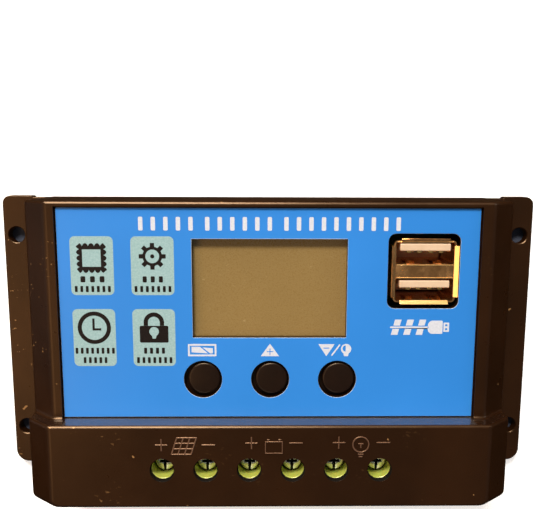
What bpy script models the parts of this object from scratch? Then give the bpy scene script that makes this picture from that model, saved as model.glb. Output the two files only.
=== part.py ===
"""Charge controller: flat wall-mounted case with a display, three push buttons, a two-port
USB socket and a six-pole screw terminal.

Frame: +X across the case, +Y up its face, +Z out of its face. The origin is the centre of the
back face. Lengths are in millimetres while a shape is made; piece() turns it into metres.
"""
import math

import bmesh
import bpy
from mathutils import Matrix, Vector

MM = 0.001
GAP = 0.3                      # clearance kept between two pieces that rest on each other

# Back plate and its ears
SPAN = 133.5                   # ear tip to ear tip
HEIGHT = 70.0
PLATE_T = 3.0
EAR_START = 54.0               # ears stand a little proud of the plate between them
EAR_PROUD = 0.4
EAR_HOLE_X = 63.6
EAR_HOLE_Y = 25.2
EAR_HOLE_R = 2.0
TOP_CORNER_R = 2.0
LOW_CORNER_R = 3.2
LIP_T = 1.5
LIP_TOP = 4.2
PAD_R = 3.6

# Front cover: a low part that carries the panel, and a raised part over the terminals
COVER_Z = PLATE_T + GAP
BODY_HALF = 54.3               # side wall
CREST_HALF = 48.7              # inner edge of the side chamfer
CHAMFER_H = 5.5
RIM_Z = 30.0
BLOCK_Z = 34.75
EMBOSS = 0.25                  # raised signs bring the total depth to 35.0
SIGN_Y = -17.5
PLUS_SHIFT = 0.3               # signs stand a little right of their screws
MINUS_SHIFT = 0.55
SIGN_REACH = 1.45
SIGN_W = 0.35
BODY_TOP = 34.85
STEP_Y = -13.7
END_BOTTOM = -34.4             # lower end wall at the plate ...
END_TOP = -32.45               # ... and at the raised top, with moulding draft
WALL = 2.0
PANEL_UNDER = 27.2             # underside of the panel wall
BLOCK_UNDER = 33.25            # underside of the raised wall
EDGE_R = 0.7
SMALL_EDGE_R = 0.5
BOSS_R = 3.3
BOSS_BORE_R = 1.8
BOSS_X = 46.8
BOSS_Y = (-28.4, 28.6)
BOSS_END = LIP_TOP + GAP

# Printed panel
POCKET_FLOOR = 28.6
POCKET_HALF = 46.2
POCKET_TOP = 33.9
PANEL_T = 0.3
PANEL_Z = POCKET_FLOOR + GAP

# Display
LCD_HALF = 17.0
LCD_LOW = 5.1
LCD_HIGH = 26.9
LCD_MID = (LCD_LOW + LCD_HIGH) / 2
GLASS_T = 2.2

# Push buttons
BUTTON_X = (-15.0, 0.0, 15.0)
BUTTON_Y = -4.6
BUTTON_SHIFT = (0.3, 0.15)      # each cap sits a little off the middle of its hole
BUTTON_HOLE_R = 4.2
CAP_R = 3.65
CAP_TOP = 28.9
CAP_FLANGE_R = 4.8

# USB socket
USB_X = 33.95
USB_Y = 19.75
USB_CUT_AT = (33.6, 19.85)     # the socket sits a little to the right in its cut-out
USB_CUT = (15.8, 16.6)
USB_CUT_R = 1.7
USB_BODY = (14.2, 13.9)
USB_LIP = (14.8, 14.6)
USB_TOP = 29.1
PORT_HALF = 6.45
PORT_NEAR = 1.55
PORT_FAR = 6.6
TONGUE_W = 11.1
TONGUE_T = 1.6
TONGUE_FAR = 6.15

# Screw terminal
POLES = 6
PITCH = 9.6
ROW_X = 0.2                    # middle of the row of screws
SCREW_Y = -23.7
ACCESS_R = 2.7
WELL_R = 2.5
BLOCK_HALF = 29.3
BLOCK_FRONT = -30.1
NOSE_FRONT = -31.6             # the part with the wire entries reaches into the end window
NOSE_INSET = 0.9
NOSE_Z = (12.4, 30.2)
END_WINDOW_INSET = 0.5
END_WINDOW_Z = (12.0, 30.6)
WIRE_HALF = 3.1
WIRE_H = 5.4
BLOCK_REAR = -16.6
BLOCK_TOP = 32.9
SEAT_Z = 26.7                  # shelf that the screw head rests on
CAGE_ROOM = (12.2, 25.9)       # floor and ceiling of the room that the cage slides in
CAGE_HALF = (3.65, 3.2)
CAGE_H = 8.6
CAGE_WALL = 0.75
CAGE_FLOOR = 1.0
CAGE_ROOF = 1.4
HEAD_TOP = 29.6
HEAD_R = 2.35
SHANK_R = 1.75
BAR_T = 1.0
BAR_HALF = 2.4
POLE_X = [ROW_X + (k - (POLES - 1) / 2) * PITCH for k in range(POLES)]

# Circuit board and what stands on it
BOARD_Z = 9.0
BOARD_T = 1.6
BOARD_HALF = 43.0
BOARD_Y = (-31.5, 31.9)
DECK = BOARD_Z + BOARD_T + GAP   # underside of the pieces on the board
POST_X = 39.8
POST_Y = (-26.5, 7.0)
POST_R = 3.2

COLOURS = {
    # name: (base colour, roughness, metallic)
    "black_plastic": ((0.030, 0.018, 0.012), 0.45, 0.0),
    "button_plastic": ((0.012, 0.012, 0.013), 0.50, 0.0),
    "blue_film": ((0.045, 0.260, 0.820), 0.35, 0.0),
    "display_glass": ((0.250, 0.180, 0.050), 0.12, 0.0),
    "white_plastic": ((0.780, 0.760, 0.700), 0.40, 0.0),
    "socket_plastic": ((0.820, 0.660, 0.450), 0.45, 0.0),
    "green_plastic": ((0.330, 0.480, 0.030), 0.40, 0.0),
    "board_green": ((0.020, 0.140, 0.050), 0.45, 0.0),
    "chip_black": ((0.015, 0.015, 0.016), 0.50, 0.0),
    "ferrite": ((0.060, 0.058, 0.056), 0.60, 0.0),
    "ribbon_film": ((0.450, 0.230, 0.050), 0.40, 0.0),
    "can_sleeve": ((0.020, 0.025, 0.060), 0.35, 0.0),
    "steel": ((0.560, 0.540, 0.500), 0.28, 1.0),
    "brass": ((0.700, 0.510, 0.220), 0.30, 1.0),
    "copper": ((0.720, 0.420, 0.250), 0.32, 1.0),
}


def material(name):
    """One Principled material for each entry in COLOURS."""
    found = bpy.data.materials.get(name)
    if found:
        return found
    colour, roughness, metallic = COLOURS[name]
    made = bpy.data.materials.new(name)
    made.use_nodes = True
    shader = made.node_tree.nodes["Principled BSDF"]
    shader.inputs["Base Color"].default_value = (*colour, 1.0)
    shader.inputs["Roughness"].default_value = roughness
    shader.inputs["Metallic"].default_value = metallic
    made.diffuse_color = (*colour, 1.0)
    return made


def from_bmesh(bm, name="tool"):
    """Turn a bmesh into an object, still in millimetres."""
    bmesh.ops.recalc_face_normals(bm, faces=bm.faces)
    mesh = bpy.data.meshes.new(name)
    bm.to_mesh(mesh)
    bm.free()
    thing = bpy.data.objects.new(name, mesh)
    bpy.context.collection.objects.link(thing)
    return thing


def box(x_span, y_span, z_span):
    """Box between two limits on each axis."""
    bm = bmesh.new()
    bmesh.ops.create_cube(bm, size=1.0)
    low = Vector((x_span[0], y_span[0], z_span[0]))
    high = Vector((x_span[1], y_span[1], z_span[1]))
    bmesh.ops.scale(bm, vec=high - low, verts=bm.verts)
    bmesh.ops.translate(bm, vec=(low + high) / 2, verts=bm.verts)
    return from_bmesh(bm)


def prism(outline, z_span):
    """Extrude a closed outline of (x, y) points between two heights."""
    bm = bmesh.new()
    base = bm.faces.new([bm.verts.new((x, y, z_span[0])) for x, y in outline])
    grown = bmesh.ops.extrude_face_region(bm, geom=[base])
    top = [item for item in grown["geom"] if isinstance(item, bmesh.types.BMVert)]
    bmesh.ops.translate(bm, vec=(0, 0, z_span[1] - z_span[0]), verts=top)
    return from_bmesh(bm)


def turned(profile, centre, segments):
    """Revolve (radius, z) points, listed from the axis at the base to the axis at the top."""
    bm = bmesh.new()
    rings = []
    for radius, z in profile:
        if radius == 0:
            rings.append([bm.verts.new((centre[0], centre[1], z))])
            continue
        angles = [2 * math.pi * k / segments for k in range(segments)]
        rings.append([bm.verts.new((centre[0] + radius * math.cos(a),
                                    centre[1] + radius * math.sin(a), z)) for a in angles])
    for low, high in zip(rings, rings[1:]):
        for k in range(segments):
            n = (k + 1) % segments
            corners = [low[k % len(low)], low[n % len(low)], high[n % len(high)], high[k % len(high)]]
            bm.faces.new(list(dict.fromkeys(corners)))
    return from_bmesh(bm)


def cylinder(centre, radius, z_span, segments=32):
    """Upright cylinder."""
    ends = ((0, z_span[0]), (radius, z_span[0]), (radius, z_span[1]), (0, z_span[1]))
    return turned(ends, centre, segments)


def rounded_rectangle(centre, size, radius, steps=5):
    """Outline of a rectangle with round corners; radius is one value or one for each corner."""
    radii = radius if isinstance(radius, tuple) else (radius,) * 4
    corners = ((1, 1), (-1, 1), (-1, -1), (1, -1))
    outline = []
    for index, (sx, sy) in enumerate(corners):
        r = radii[index]
        cx = centre[0] + sx * (size[0] / 2 - r)
        cy = centre[1] + sy * (size[1] / 2 - r)
        for step in range(steps + 1):
            angle = math.pi / 2 * (index + step / steps)
            outline.append((cx + r * math.cos(angle), cy + r * math.sin(angle)))
    return outline


def combine(target, tool, operation="DIFFERENCE"):
    """Cut target with tool or join them, and use tool up."""
    modifier = target.modifiers.new("combine", "BOOLEAN")
    modifier.operation = operation
    modifier.solver = "EXACT"
    modifier.object = tool
    graph = bpy.context.evaluated_depsgraph_get()
    result = bpy.data.meshes.new_from_object(target.evaluated_get(graph))
    target.modifiers.remove(modifier)
    target.data = result
    bpy.data.objects.remove(tool)
    return target


def piece(thing, name, colour, origin=None, smooth=False):
    """Name a finished solid, scale it to metres, colour it and put its origin on its axis."""
    thing.data.transform(Matrix.Scale(MM, 4))
    thing.name = name
    thing.data.name = name
    thing.data.materials.clear()
    thing.data.materials.append(material(colour))
    if smooth:
        thing.data.shade_smooth()
        thing.data.set_sharp_from_angle(angle=math.radians(35))
    if origin:
        place = Vector(origin) * MM
        thing.data.transform(Matrix.Translation(-place))
        thing.location = place
    return thing


def repeat(first, name, offset):
    """Another piece with the same mesh, moved by offset."""
    copy = bpy.data.objects.new(name, first.data)
    copy.location = first.location + Vector(offset) * MM
    bpy.context.collection.objects.link(copy)
    return copy


def round_edges(thing, width, segments=3, angle=25.0):
    """Round every edge sharper than angle, in the mesh itself."""
    bm = bmesh.new()
    bm.from_mesh(thing.data)
    limit = math.radians(angle)
    edges = [edge for edge in bm.edges if edge.calc_face_angle(0.0) > limit]
    bmesh.ops.bevel(bm, geom=edges, offset=width, segments=segments, profile=0.5,
                    affect="EDGES", clamp_overlap=True)
    bm.to_mesh(thing.data)
    bm.free()
    return thing


def case_section(half, crest, mark, shoulder, top, y_low, y_high, base):
    """One cross-section of the cover: walls, chamfers and flat top, leaning from y_low to y_high.

    mark is the height on each wall where the low part's chamfer starts, so that the low and the
    raised part share a corner there.
    """
    right = ((half, base), (half, mark), (half, shoulder), (crest, top))
    points = [*right, *((-x, z) for x, z in reversed(right))]
    lean = (y_high - y_low) / (BLOCK_Z - COVER_Z)
    return [(x, y_low + lean * (z - base), z) for x, z in points]


def lofted(sections):
    """Closed skin over sections that have the same number of points."""
    bm = bmesh.new()
    rings = [[bm.verts.new(point) for point in section] for section in sections]
    for near, far in zip(rings, rings[1:]):
        for k in range(len(near)):
            n = (k + 1) % len(near)
            loop = [near[k], near[n], far[n], far[k]]
            places = {tuple(round(value, 6) for value in vert.co) for vert in loop}
            if len(places) > 2:
                bm.faces.new(loop)
    bm.faces.new(rings[0])
    bm.faces.new(rings[-1])
    bmesh.ops.remove_doubles(bm, verts=bm.verts, dist=1e-5)
    return from_bmesh(bm)


def cover_shell():
    """Outer skin of the cover less its hollow."""
    low = RIM_Z - CHAMFER_H
    high = BLOCK_Z - CHAMFER_H
    outer = lofted([
        case_section(BODY_HALF, CREST_HALF, low, low, RIM_Z, BODY_TOP, BODY_TOP, COVER_Z),
        case_section(BODY_HALF, CREST_HALF, low, low, RIM_Z, STEP_Y, STEP_Y, COVER_Z),
        case_section(BODY_HALF, CREST_HALF, low, high, BLOCK_Z, STEP_Y, STEP_Y, COVER_Z),
        case_section(BODY_HALF, CREST_HALF, low, high, BLOCK_Z, END_BOTTOM, END_TOP, COVER_Z),
    ])
    round_edges(outer, EDGE_R)
    half = BODY_HALF - WALL
    low_crest = CREST_HALF + 0.3
    high_crest = CREST_HALF - 0.8
    low -= 0.6
    high -= 0.6
    top_y = BODY_TOP - WALL
    step_y = STEP_Y - WALL
    hollow = lofted([
        case_section(half, low_crest, low, low, PANEL_UNDER, top_y, top_y, 0),
        case_section(half, low_crest, low, low, PANEL_UNDER, step_y, step_y, 0),
        case_section(half, high_crest, low, high, BLOCK_UNDER, step_y, step_y, 0),
        case_section(half, high_crest, low, high, BLOCK_UNDER, END_BOTTOM + WALL, END_TOP + WALL, 0),
    ])
    return combine(outer, hollow)


def plus_outline(centre, reach, width):
    """Twelve corners of a plus sign."""
    h = width / 2
    quarter = ((reach, -h), (reach, h), (h, h))
    corners = []
    for turn in range(4):
        angle = math.pi / 2 * turn
        for x, y in quarter:
            corners.append((centre[0] + x * math.cos(angle) - y * math.sin(angle),
                            centre[1] + x * math.sin(angle) + y * math.cos(angle)))
    return corners


def raised_signs():
    """A plus and a minus sign beside each pair of screws."""
    z_span = (BLOCK_Z - 0.3, BLOCK_Z + EMBOSS)
    signs = []
    for plus_x, minus_x in zip(POLE_X[::2], POLE_X[1::2]):
        signs.append(prism(plus_outline((plus_x + PLUS_SHIFT, SIGN_Y), SIGN_REACH, SIGN_W), z_span))
        x = minus_x + MINUS_SHIFT
        half = SIGN_W / 2
        signs.append(box((x - SIGN_REACH, x + SIGN_REACH), (SIGN_Y - half, SIGN_Y + half), z_span))
    return signs


def front_cover():
    """Shell with its panel pocket, windows, button and screw holes, bosses and raised signs."""
    cover = cover_shell()
    for x in (-BOSS_X, BOSS_X):
        for y, top in zip(BOSS_Y, (BLOCK_UNDER - 3.0, PANEL_UNDER + 0.5)):
            combine(cover, cylinder((x, y), BOSS_R, (BOSS_END, top), 16), "UNION")
            combine(cover, cylinder((x, y), BOSS_BORE_R, (BOSS_END - 1, 16.0), 12))
    combine(cover, box((-POCKET_HALF, POCKET_HALF), (STEP_Y, POCKET_TOP), (POCKET_FLOOR, RIM_Z + 1)))
    through = (PANEL_UNDER - 2, RIM_Z + 1)
    combine(cover, box((-LCD_HALF, LCD_HALF), (LCD_LOW, LCD_HIGH), through))
    combine(cover, prism(rounded_rectangle(USB_CUT_AT, USB_CUT, USB_CUT_R), through))
    for x in BUTTON_X:
        combine(cover, cylinder((x, BUTTON_Y), BUTTON_HOLE_R, through, 28))
    for x in POLE_X:
        combine(cover, cylinder((x, SCREW_Y), ACCESS_R, (BLOCK_UNDER - 2, BLOCK_Z + 1), 24))
    window_half = BLOCK_HALF - END_WINDOW_INSET
    window_y = (END_BOTTOM - 2, BLOCK_FRONT - 0.2)
    combine(cover, box((ROW_X - window_half, ROW_X + window_half), window_y, END_WINDOW_Z))
    for sign in raised_signs():
        combine(cover, sign, "UNION")
    return piece(cover, "front_cover", "black_plastic", smooth=True)


def base_plate():
    """Back plate with four ear holes, a locating lip, screw pads and four board posts."""
    radii = (TOP_CORNER_R, TOP_CORNER_R, LOW_CORNER_R, LOW_CORNER_R)
    plate = prism(rounded_rectangle((0, 0), (SPAN, HEIGHT), radii), (0, PLATE_T))
    top = HEIGHT / 2
    combine(plate, box((-EAR_START, EAR_START), (top - EAR_PROUD, top + 1), (-1, PLATE_T + 1)))
    round_edges(plate, SMALL_EDGE_R, segments=2, angle=60)
    lip_x = BODY_HALF - WALL - GAP
    lip_y = (END_BOTTOM + WALL + GAP, BODY_TOP - WALL - GAP)
    lip = box((-lip_x, lip_x), lip_y, (PLATE_T - 1, LIP_TOP - 0.4))
    inner_y = (lip_y[0] + LIP_T, lip_y[1] - LIP_T)
    combine(lip, box((-lip_x + LIP_T, lip_x - LIP_T), inner_y, (0, LIP_TOP + 1)))
    combine(plate, lip, "UNION")
    for x in (-BOSS_X, BOSS_X):
        for y in BOSS_Y:
            combine(plate, cylinder((x, y), PAD_R, (PLATE_T - 1, LIP_TOP), 16), "UNION")
            combine(plate, cylinder((x, y), 3.1, (-1, 2.2), 16))
            combine(plate, cylinder((x, y), 1.8, (1, LIP_TOP + 1), 12))
    for x in (-POST_X, POST_X):
        for y in POST_Y:
            combine(plate, cylinder((x, y), POST_R, (PLATE_T - 1, BOARD_Z - GAP), 12), "UNION")
            combine(plate, cylinder((x, y), 1.6, (4.0, BOARD_Z + 1), 10))
    for x in (-EAR_HOLE_X, EAR_HOLE_X):
        for y in (-EAR_HOLE_Y, EAR_HOLE_Y):
            combine(plate, cylinder((x, y), EAR_HOLE_R, (-1, PLATE_T + 1), 24))
    return piece(plate, "base_plate", "black_plastic", smooth=True)


def panel_label():
    """Printed film that lies in the cover's pocket, cut out for display, buttons and socket."""
    side = POCKET_HALF - GAP
    low = STEP_Y + GAP
    high = POCKET_TOP - GAP
    span = (PANEL_Z, PANEL_Z + PANEL_T)
    label = box((-side, side), (low, high), span)
    through = (PANEL_Z - 1, PANEL_Z + 1)
    combine(label, box((-LCD_HALF, LCD_HALF), (LCD_LOW, LCD_HIGH), through))
    combine(label, prism(rounded_rectangle(USB_CUT_AT, USB_CUT, USB_CUT_R), through))
    for x in BUTTON_X:
        combine(label, cylinder((x, BUTTON_Y), BUTTON_HOLE_R, through, 28))
    return piece(label, "panel_label", "blue_film")


def display():
    """Glass, light guide, holder frame and ribbon of the display."""
    top = PANEL_UNDER - GAP
    under = top - GLASS_T
    glass = box((-20.0, 20.0), (LCD_MID - 14.2, LCD_MID + 14.2), (under, top))
    piece(glass, "lcd_glass", "display_glass")
    holder_top = under - GAP
    holder = box((-20.6, 20.6), (LCD_MID - 14.8, LCD_MID + 14.8), (DECK, holder_top))
    combine(holder, box((-19.2, 19.2), (LCD_MID - 13.4, LCD_MID + 13.4), (DECK - 1, holder_top + 1)))
    piece(holder, "lcd_holder", "white_plastic")
    guide = box((-18.7, 18.7), (LCD_MID - 12.0, LCD_MID + 13.0), (holder_top - 3.4, holder_top - 0.1))
    piece(guide, "lcd_backlight", "white_plastic")
    ribbon = box((-15.0, 15.0), (LCD_MID - 13.0, LCD_MID - 12.6), (DECK, holder_top - 0.1))
    piece(ribbon, "lcd_ribbon", "ribbon_film")


def buttons():
    """Three caps, each on the plunger of a tactile switch."""
    first_x = BUTTON_X[0] + BUTTON_SHIFT[0]
    middle_y = BUTTON_Y + BUTTON_SHIFT[1]
    centre = (first_x, middle_y)
    shoulder = PANEL_UNDER - GAP
    flange_low = shoulder - 1.1
    socket_top = shoulder + 0.1
    cap_profile = ((0, socket_top), (2.05, socket_top), (2.05, flange_low), (CAP_FLANGE_R, flange_low),
                   (CAP_FLANGE_R, shoulder), (CAP_R, shoulder), (CAP_R, CAP_TOP - 0.45),
                   (CAP_R - 0.13, CAP_TOP - 0.13), (CAP_R - 0.45, CAP_TOP), (0, CAP_TOP))
    well_floor = DECK + 1.0
    plunger_low = well_floor + 0.7
    plunger = cylinder(centre, 1.75, (plunger_low, socket_top - GAP), 16)
    plunger_origin = (*centre, plunger_low)
    base_top = DECK + 3.5
    base = box((first_x - 3.0, first_x + 3.0), (middle_y - 3.0, middle_y + 3.0), (DECK, base_top))
    combine(base, cylinder(centre, 2.15, (well_floor, base_top + 1), 16))
    cap = turned(cap_profile, centre, 24)
    firsts = (
        ("button_cap", piece(cap, "button_cap_1", "button_plastic", (*centre, CAP_TOP), smooth=True)),
        ("switch_plunger", piece(plunger, "switch_plunger_1", "chip_black", plunger_origin, smooth=True)),
        ("switch_base", piece(base, "switch_base_1", "steel")),
    )
    for stem, first in firsts:
        for index, x in enumerate(BUTTON_X[1:], start=2):
            repeat(first, f"{stem}_{index}", (x - BUTTON_X[0], 0, 0))


def ring_section(size, z):
    """Corners of a rectangle about the USB socket's centre at one height."""
    hx = size[0] / 2
    hy = size[1] / 2
    return [(USB_X + sx * hx, USB_Y + sy * hy, z) for sx, sy in ((-1, -1), (1, -1), (1, 1), (-1, 1))]


def usb_socket():
    """Metal shell with a flared mouth round two ports, and the insulator with its two tongues."""
    shell = lofted([ring_section(USB_BODY, DECK), ring_section(USB_BODY, USB_TOP - 0.9),
                    ring_section(USB_LIP, USB_TOP)])
    mouth_inner = (USB_LIP[0] - 0.7, USB_LIP[1] - 0.7)
    throat = (2 * PORT_HALF + 0.1, 2 * PORT_FAR + 0.1)
    combine(shell, lofted([ring_section(throat, USB_TOP - 0.9), ring_section(mouth_inner, USB_TOP),
                           ring_section(mouth_inner, USB_TOP + 1)]))
    x_span = (USB_X - PORT_HALF, USB_X + PORT_HALF)
    floor = DECK + 5.0
    for low, high in ((PORT_NEAR, PORT_FAR), (-PORT_FAR, -PORT_NEAR)):
        combine(shell, box(x_span, (USB_Y + low, USB_Y + high), (floor - 0.5, USB_TOP + 1)))
    combine(shell, box(x_span, (USB_Y - PORT_FAR, USB_Y + PORT_FAR), (DECK - 1, floor)))
    piece(shell, "usb_shell", "steel")

    side = PORT_HALF - GAP
    depth = PORT_FAR - GAP
    insulator = box((USB_X - side, USB_X + side), (USB_Y - depth, USB_Y + depth), (DECK, floor - GAP))
    pitch = PORT_FAR + PORT_NEAR
    for high in (TONGUE_FAR, TONGUE_FAR - pitch):
        tongue = box((USB_X - TONGUE_W / 2, USB_X + TONGUE_W / 2),
                     (USB_Y + high - TONGUE_T, USB_Y + high), (floor - 1, USB_TOP - 0.4))
        combine(insulator, tongue, "UNION")
    piece(insulator, "usb_insulator", "socket_plastic")


def terminal_block():
    """Housing of the six poles: screw well, cage room, wire entry and bar slot for each."""
    block = box((ROW_X - BLOCK_HALF, ROW_X + BLOCK_HALF), (BLOCK_FRONT, BLOCK_REAR), (DECK, BLOCK_TOP))
    nose_half = BLOCK_HALF - NOSE_INSET
    nose = box((ROW_X - nose_half, ROW_X + nose_half), (NOSE_FRONT, BLOCK_FRONT + 1), NOSE_Z)
    combine(block, nose, "UNION")
    room = (CAGE_HALF[0] + GAP, CAGE_HALF[1] + GAP)
    wire_y = (NOSE_FRONT - 1, SCREW_Y - 3.0)
    wire_low = CAGE_ROOM[0] + 1.1
    slot_y = (SCREW_Y + 3.0, BLOCK_REAR + 1)
    slot_z = (bar_low() - GAP, bar_low() + BAR_T + GAP)
    for x in POLE_X:
        combine(block, box((x - room[0], x + room[0]), (SCREW_Y - room[1], SCREW_Y + room[1]), CAGE_ROOM))
        combine(block, cylinder((x, SCREW_Y), WELL_R, (SEAT_Z, BLOCK_TOP + 1), 20))
        combine(block, cylinder((x, SCREW_Y), SHANK_R + GAP, (CAGE_ROOM[1] - 1, SEAT_Z + 1), 12))
        combine(block, box((x - WIRE_HALF, x + WIRE_HALF), wire_y, (wire_low, wire_low + WIRE_H)))
        combine(block, box((x - BAR_HALF - GAP, x + BAR_HALF + GAP), slot_y, slot_z))
    return piece(block, "terminal_block", "green_plastic", smooth=True)


def cage_low():
    """Underside of a cage at rest."""
    return CAGE_ROOM[0] + GAP


def bar_low():
    """Underside of the fixed bar that passes through each cage."""
    return cage_low() + CAGE_H - CAGE_ROOF - GAP - BAR_T


def terminal_pole_parts():
    """Clamp screw, rising cage and fixed bar, six of each."""
    x = POLE_X[0]
    centre = (x, SCREW_Y)
    head_low = SEAT_Z + GAP
    tip = bar_low() + BAR_T + GAP
    profile = ((0, tip), (SHANK_R - 0.4, tip), (SHANK_R, tip + 0.5), (SHANK_R, head_low),
               (HEAD_R, head_low), (HEAD_R, HEAD_TOP - 0.25), (HEAD_R - 0.25, HEAD_TOP), (0, HEAD_TOP))
    screw = turned(profile, centre, 20)
    combine(screw, box((x - 0.35, x + 0.35), (SCREW_Y - 3, SCREW_Y + 3), (HEAD_TOP - 0.9, HEAD_TOP + 1)))
    piece(screw, "terminal_screw_1", "steel", (*centre, head_low), smooth=True)

    low = cage_low()
    high = low + CAGE_H
    cage_y = (SCREW_Y - CAGE_HALF[1], SCREW_Y + CAGE_HALF[1])
    cage = box((x - CAGE_HALF[0], x + CAGE_HALF[0]), cage_y, (low, high))
    inner = CAGE_HALF[0] - CAGE_WALL
    mouth_z = (low + CAGE_FLOOR, high - CAGE_ROOF)
    combine(cage, box((x - inner, x + inner), (cage_y[0] - 1, cage_y[1] + 1), mouth_z))
    combine(cage, cylinder(centre, SHANK_R + GAP, (high - CAGE_ROOF - 1, high + 1), 12))
    piece(cage, "clamp_cage_1", "brass", (*centre, low), smooth=True)

    leg_y = (BLOCK_REAR + GAP, BLOCK_REAR + GAP + BAR_T)
    bar = box((x - BAR_HALF, x + BAR_HALF), (SCREW_Y - 3.0, leg_y[1]), (bar_low(), bar_low() + BAR_T))
    combine(bar, box((x - BAR_HALF, x + BAR_HALF), leg_y, (DECK + 0.4, bar_low() + 0.5)), "UNION")
    combine(bar, box((x - 1.0, x + 1.0), leg_y, (BOARD_Z - 1.5, DECK + 1)), "UNION")
    piece(bar, "terminal_bar_1", "copper")

    firsts = (("terminal_screw", screw), ("clamp_cage", cage), ("terminal_bar", bar))
    for stem, first in firsts:
        for index, other_x in enumerate(POLE_X[1:], start=2):
            repeat(first, f"{stem}_{index}", (other_x - x, 0, 0))


def main_board():
    """Circuit board with four screw holes and six slots for the terminal bars."""
    board = box((-BOARD_HALF, BOARD_HALF), BOARD_Y, (BOARD_Z, BOARD_Z + BOARD_T))
    through = (BOARD_Z - 1, BOARD_Z + BOARD_T + 1)
    for x in (-POST_X, POST_X):
        for y in POST_Y:
            combine(board, cylinder((x, y), 1.7, through, 12))
    leg_y = BLOCK_REAR + GAP
    for x in POLE_X:
        combine(board, box((x - 1.0 - GAP, x + 1.0 + GAP), (leg_y - GAP, leg_y + BAR_T + GAP), through))
    return piece(board, "main_board", "board_green")


def board_parts():
    """Power transistors, capacitors, choke, shunt and chips that stand on the board."""
    x = -38.0
    transistor = box((x - 4.8, x + 4.8), (-12.6, -3.6), (DECK, DECK + 4.4))
    combine(transistor, box((x - 6, x + 6), (-14, -10.6), (DECK + 1.3, DECK + 6)))
    piece(transistor, "mosfet_1", "chip_black")
    for index, offset in enumerate((11.0, 65.0, 76.0), start=2):
        repeat(transistor, f"mosfet_{index}", (offset, 0, 0))

    can = ((0, DECK), (5.0, DECK), (5.0, DECK + 2.0), (4.6, DECK + 2.4), (5.0, DECK + 2.8),
           (5.0, DECK + 13.6), (4.6, DECK + 14.0), (0, DECK + 14.0))
    first = turned(can, (-33.0, 24.0), 20)
    piece(first, "capacitor_1", "can_sleeve", smooth=True)
    repeat(first, "capacitor_2", (0, -12.0, 0))

    choke = prism(rounded_rectangle((30.4, 4.6), (11.0, 11.0), 2.5), (DECK, DECK + 6.5))
    piece(choke, "usb_choke", "ferrite")
    piece(box((-5.0, 5.0), (11.0, 21.0), (DECK, DECK + 1.5)), "controller_chip", "chip_black")
    piece(box((21.7, 25.5), (17.0, 22.0), (DECK, DECK + 1.5)), "usb_regulator", "chip_black")
    piece(box((-6.0, 6.0), (-12.4, -9.6), (DECK, DECK + 1.2)), "shunt_resistor", "copper")


def fasteners():
    """Four screws that close the case from behind and four that hold the board."""
    x = -BOSS_X
    y = BOSS_Y[0]
    case_profile = ((0, 0.3), (2.4, 0.3), (2.7, 0.7), (2.7, 1.9), (1.5, 1.9), (1.5, 14.0), (0, 15.0))
    case_screw = turned(case_profile, (x, y), 16)
    combine(case_screw, box((x - 0.35, x + 0.35), (y - 1.6, y + 1.6), (-1, 1.1)))
    combine(case_screw, box((x - 1.6, x + 1.6), (y - 0.35, y + 0.35), (-1, 1.1)))
    piece(case_screw, "case_screw_1", "steel", smooth=True)
    others = ((BOSS_X, BOSS_Y[0]), (-BOSS_X, BOSS_Y[1]), (BOSS_X, BOSS_Y[1]))
    for index, place in enumerate(others, start=2):
        repeat(case_screw, f"case_screw_{index}", (place[0] - x, place[1] - y, 0))

    x = -POST_X
    y = POST_Y[0]
    board_profile = ((0, 4.6), (1.2, 5.4), (1.2, DECK), (2.4, DECK), (2.4, DECK + 1.2), (2.0, DECK + 1.6),
                     (0, DECK + 1.6))
    board_screw = turned(board_profile, (x, y), 16)
    piece(board_screw, "board_screw_1", "steel", smooth=True)
    others = ((POST_X, POST_Y[0]), (-POST_X, POST_Y[1]), (POST_X, POST_Y[1]))
    for index, place in enumerate(others, start=2):
        repeat(board_screw, f"board_screw_{index}", (place[0] - x, place[1] - y, 0))


def build():
    """Clear the scene and make every piece."""
    for thing in list(bpy.data.objects):
        bpy.data.objects.remove(thing)
    front_cover()
    base_plate()
    panel_label()
    display()
    buttons()
    usb_socket()
    terminal_block()
    terminal_pole_parts()
    main_board()
    board_parts()
    fasteners()


build()
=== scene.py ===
"""Looks of the charge controller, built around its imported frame.

Shapes are made in millimetres, in the frame's own axes, and place() turns them into metres:
+X across the case, +Y up its face, +Z out of its face, back face on z = 0.
"""
import math

import bmesh
import bpy
from mathutils import Matrix, Vector


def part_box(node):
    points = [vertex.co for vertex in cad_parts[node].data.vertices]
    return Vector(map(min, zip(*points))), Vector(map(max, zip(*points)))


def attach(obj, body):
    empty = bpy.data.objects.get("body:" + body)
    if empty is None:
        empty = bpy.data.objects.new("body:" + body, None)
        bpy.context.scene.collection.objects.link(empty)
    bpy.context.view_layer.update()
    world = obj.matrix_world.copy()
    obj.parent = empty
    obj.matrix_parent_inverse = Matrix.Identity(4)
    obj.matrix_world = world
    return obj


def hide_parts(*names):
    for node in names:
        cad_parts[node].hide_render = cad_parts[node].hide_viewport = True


MM = 0.001
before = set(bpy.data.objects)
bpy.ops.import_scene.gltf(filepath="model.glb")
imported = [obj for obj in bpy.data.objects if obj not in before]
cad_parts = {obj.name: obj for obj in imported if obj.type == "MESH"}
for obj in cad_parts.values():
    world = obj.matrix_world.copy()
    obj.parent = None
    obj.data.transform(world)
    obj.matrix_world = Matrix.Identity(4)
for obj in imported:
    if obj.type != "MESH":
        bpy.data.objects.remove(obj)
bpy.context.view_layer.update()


def span(node):
    """Lowest and highest corner of a CAD node, in millimetres."""
    low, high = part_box(node)
    return low / MM, high / MM


def centre(node):
    """Middle of a CAD node, in millimetres."""
    low, high = span(node)
    return (low + high) / 2


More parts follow.
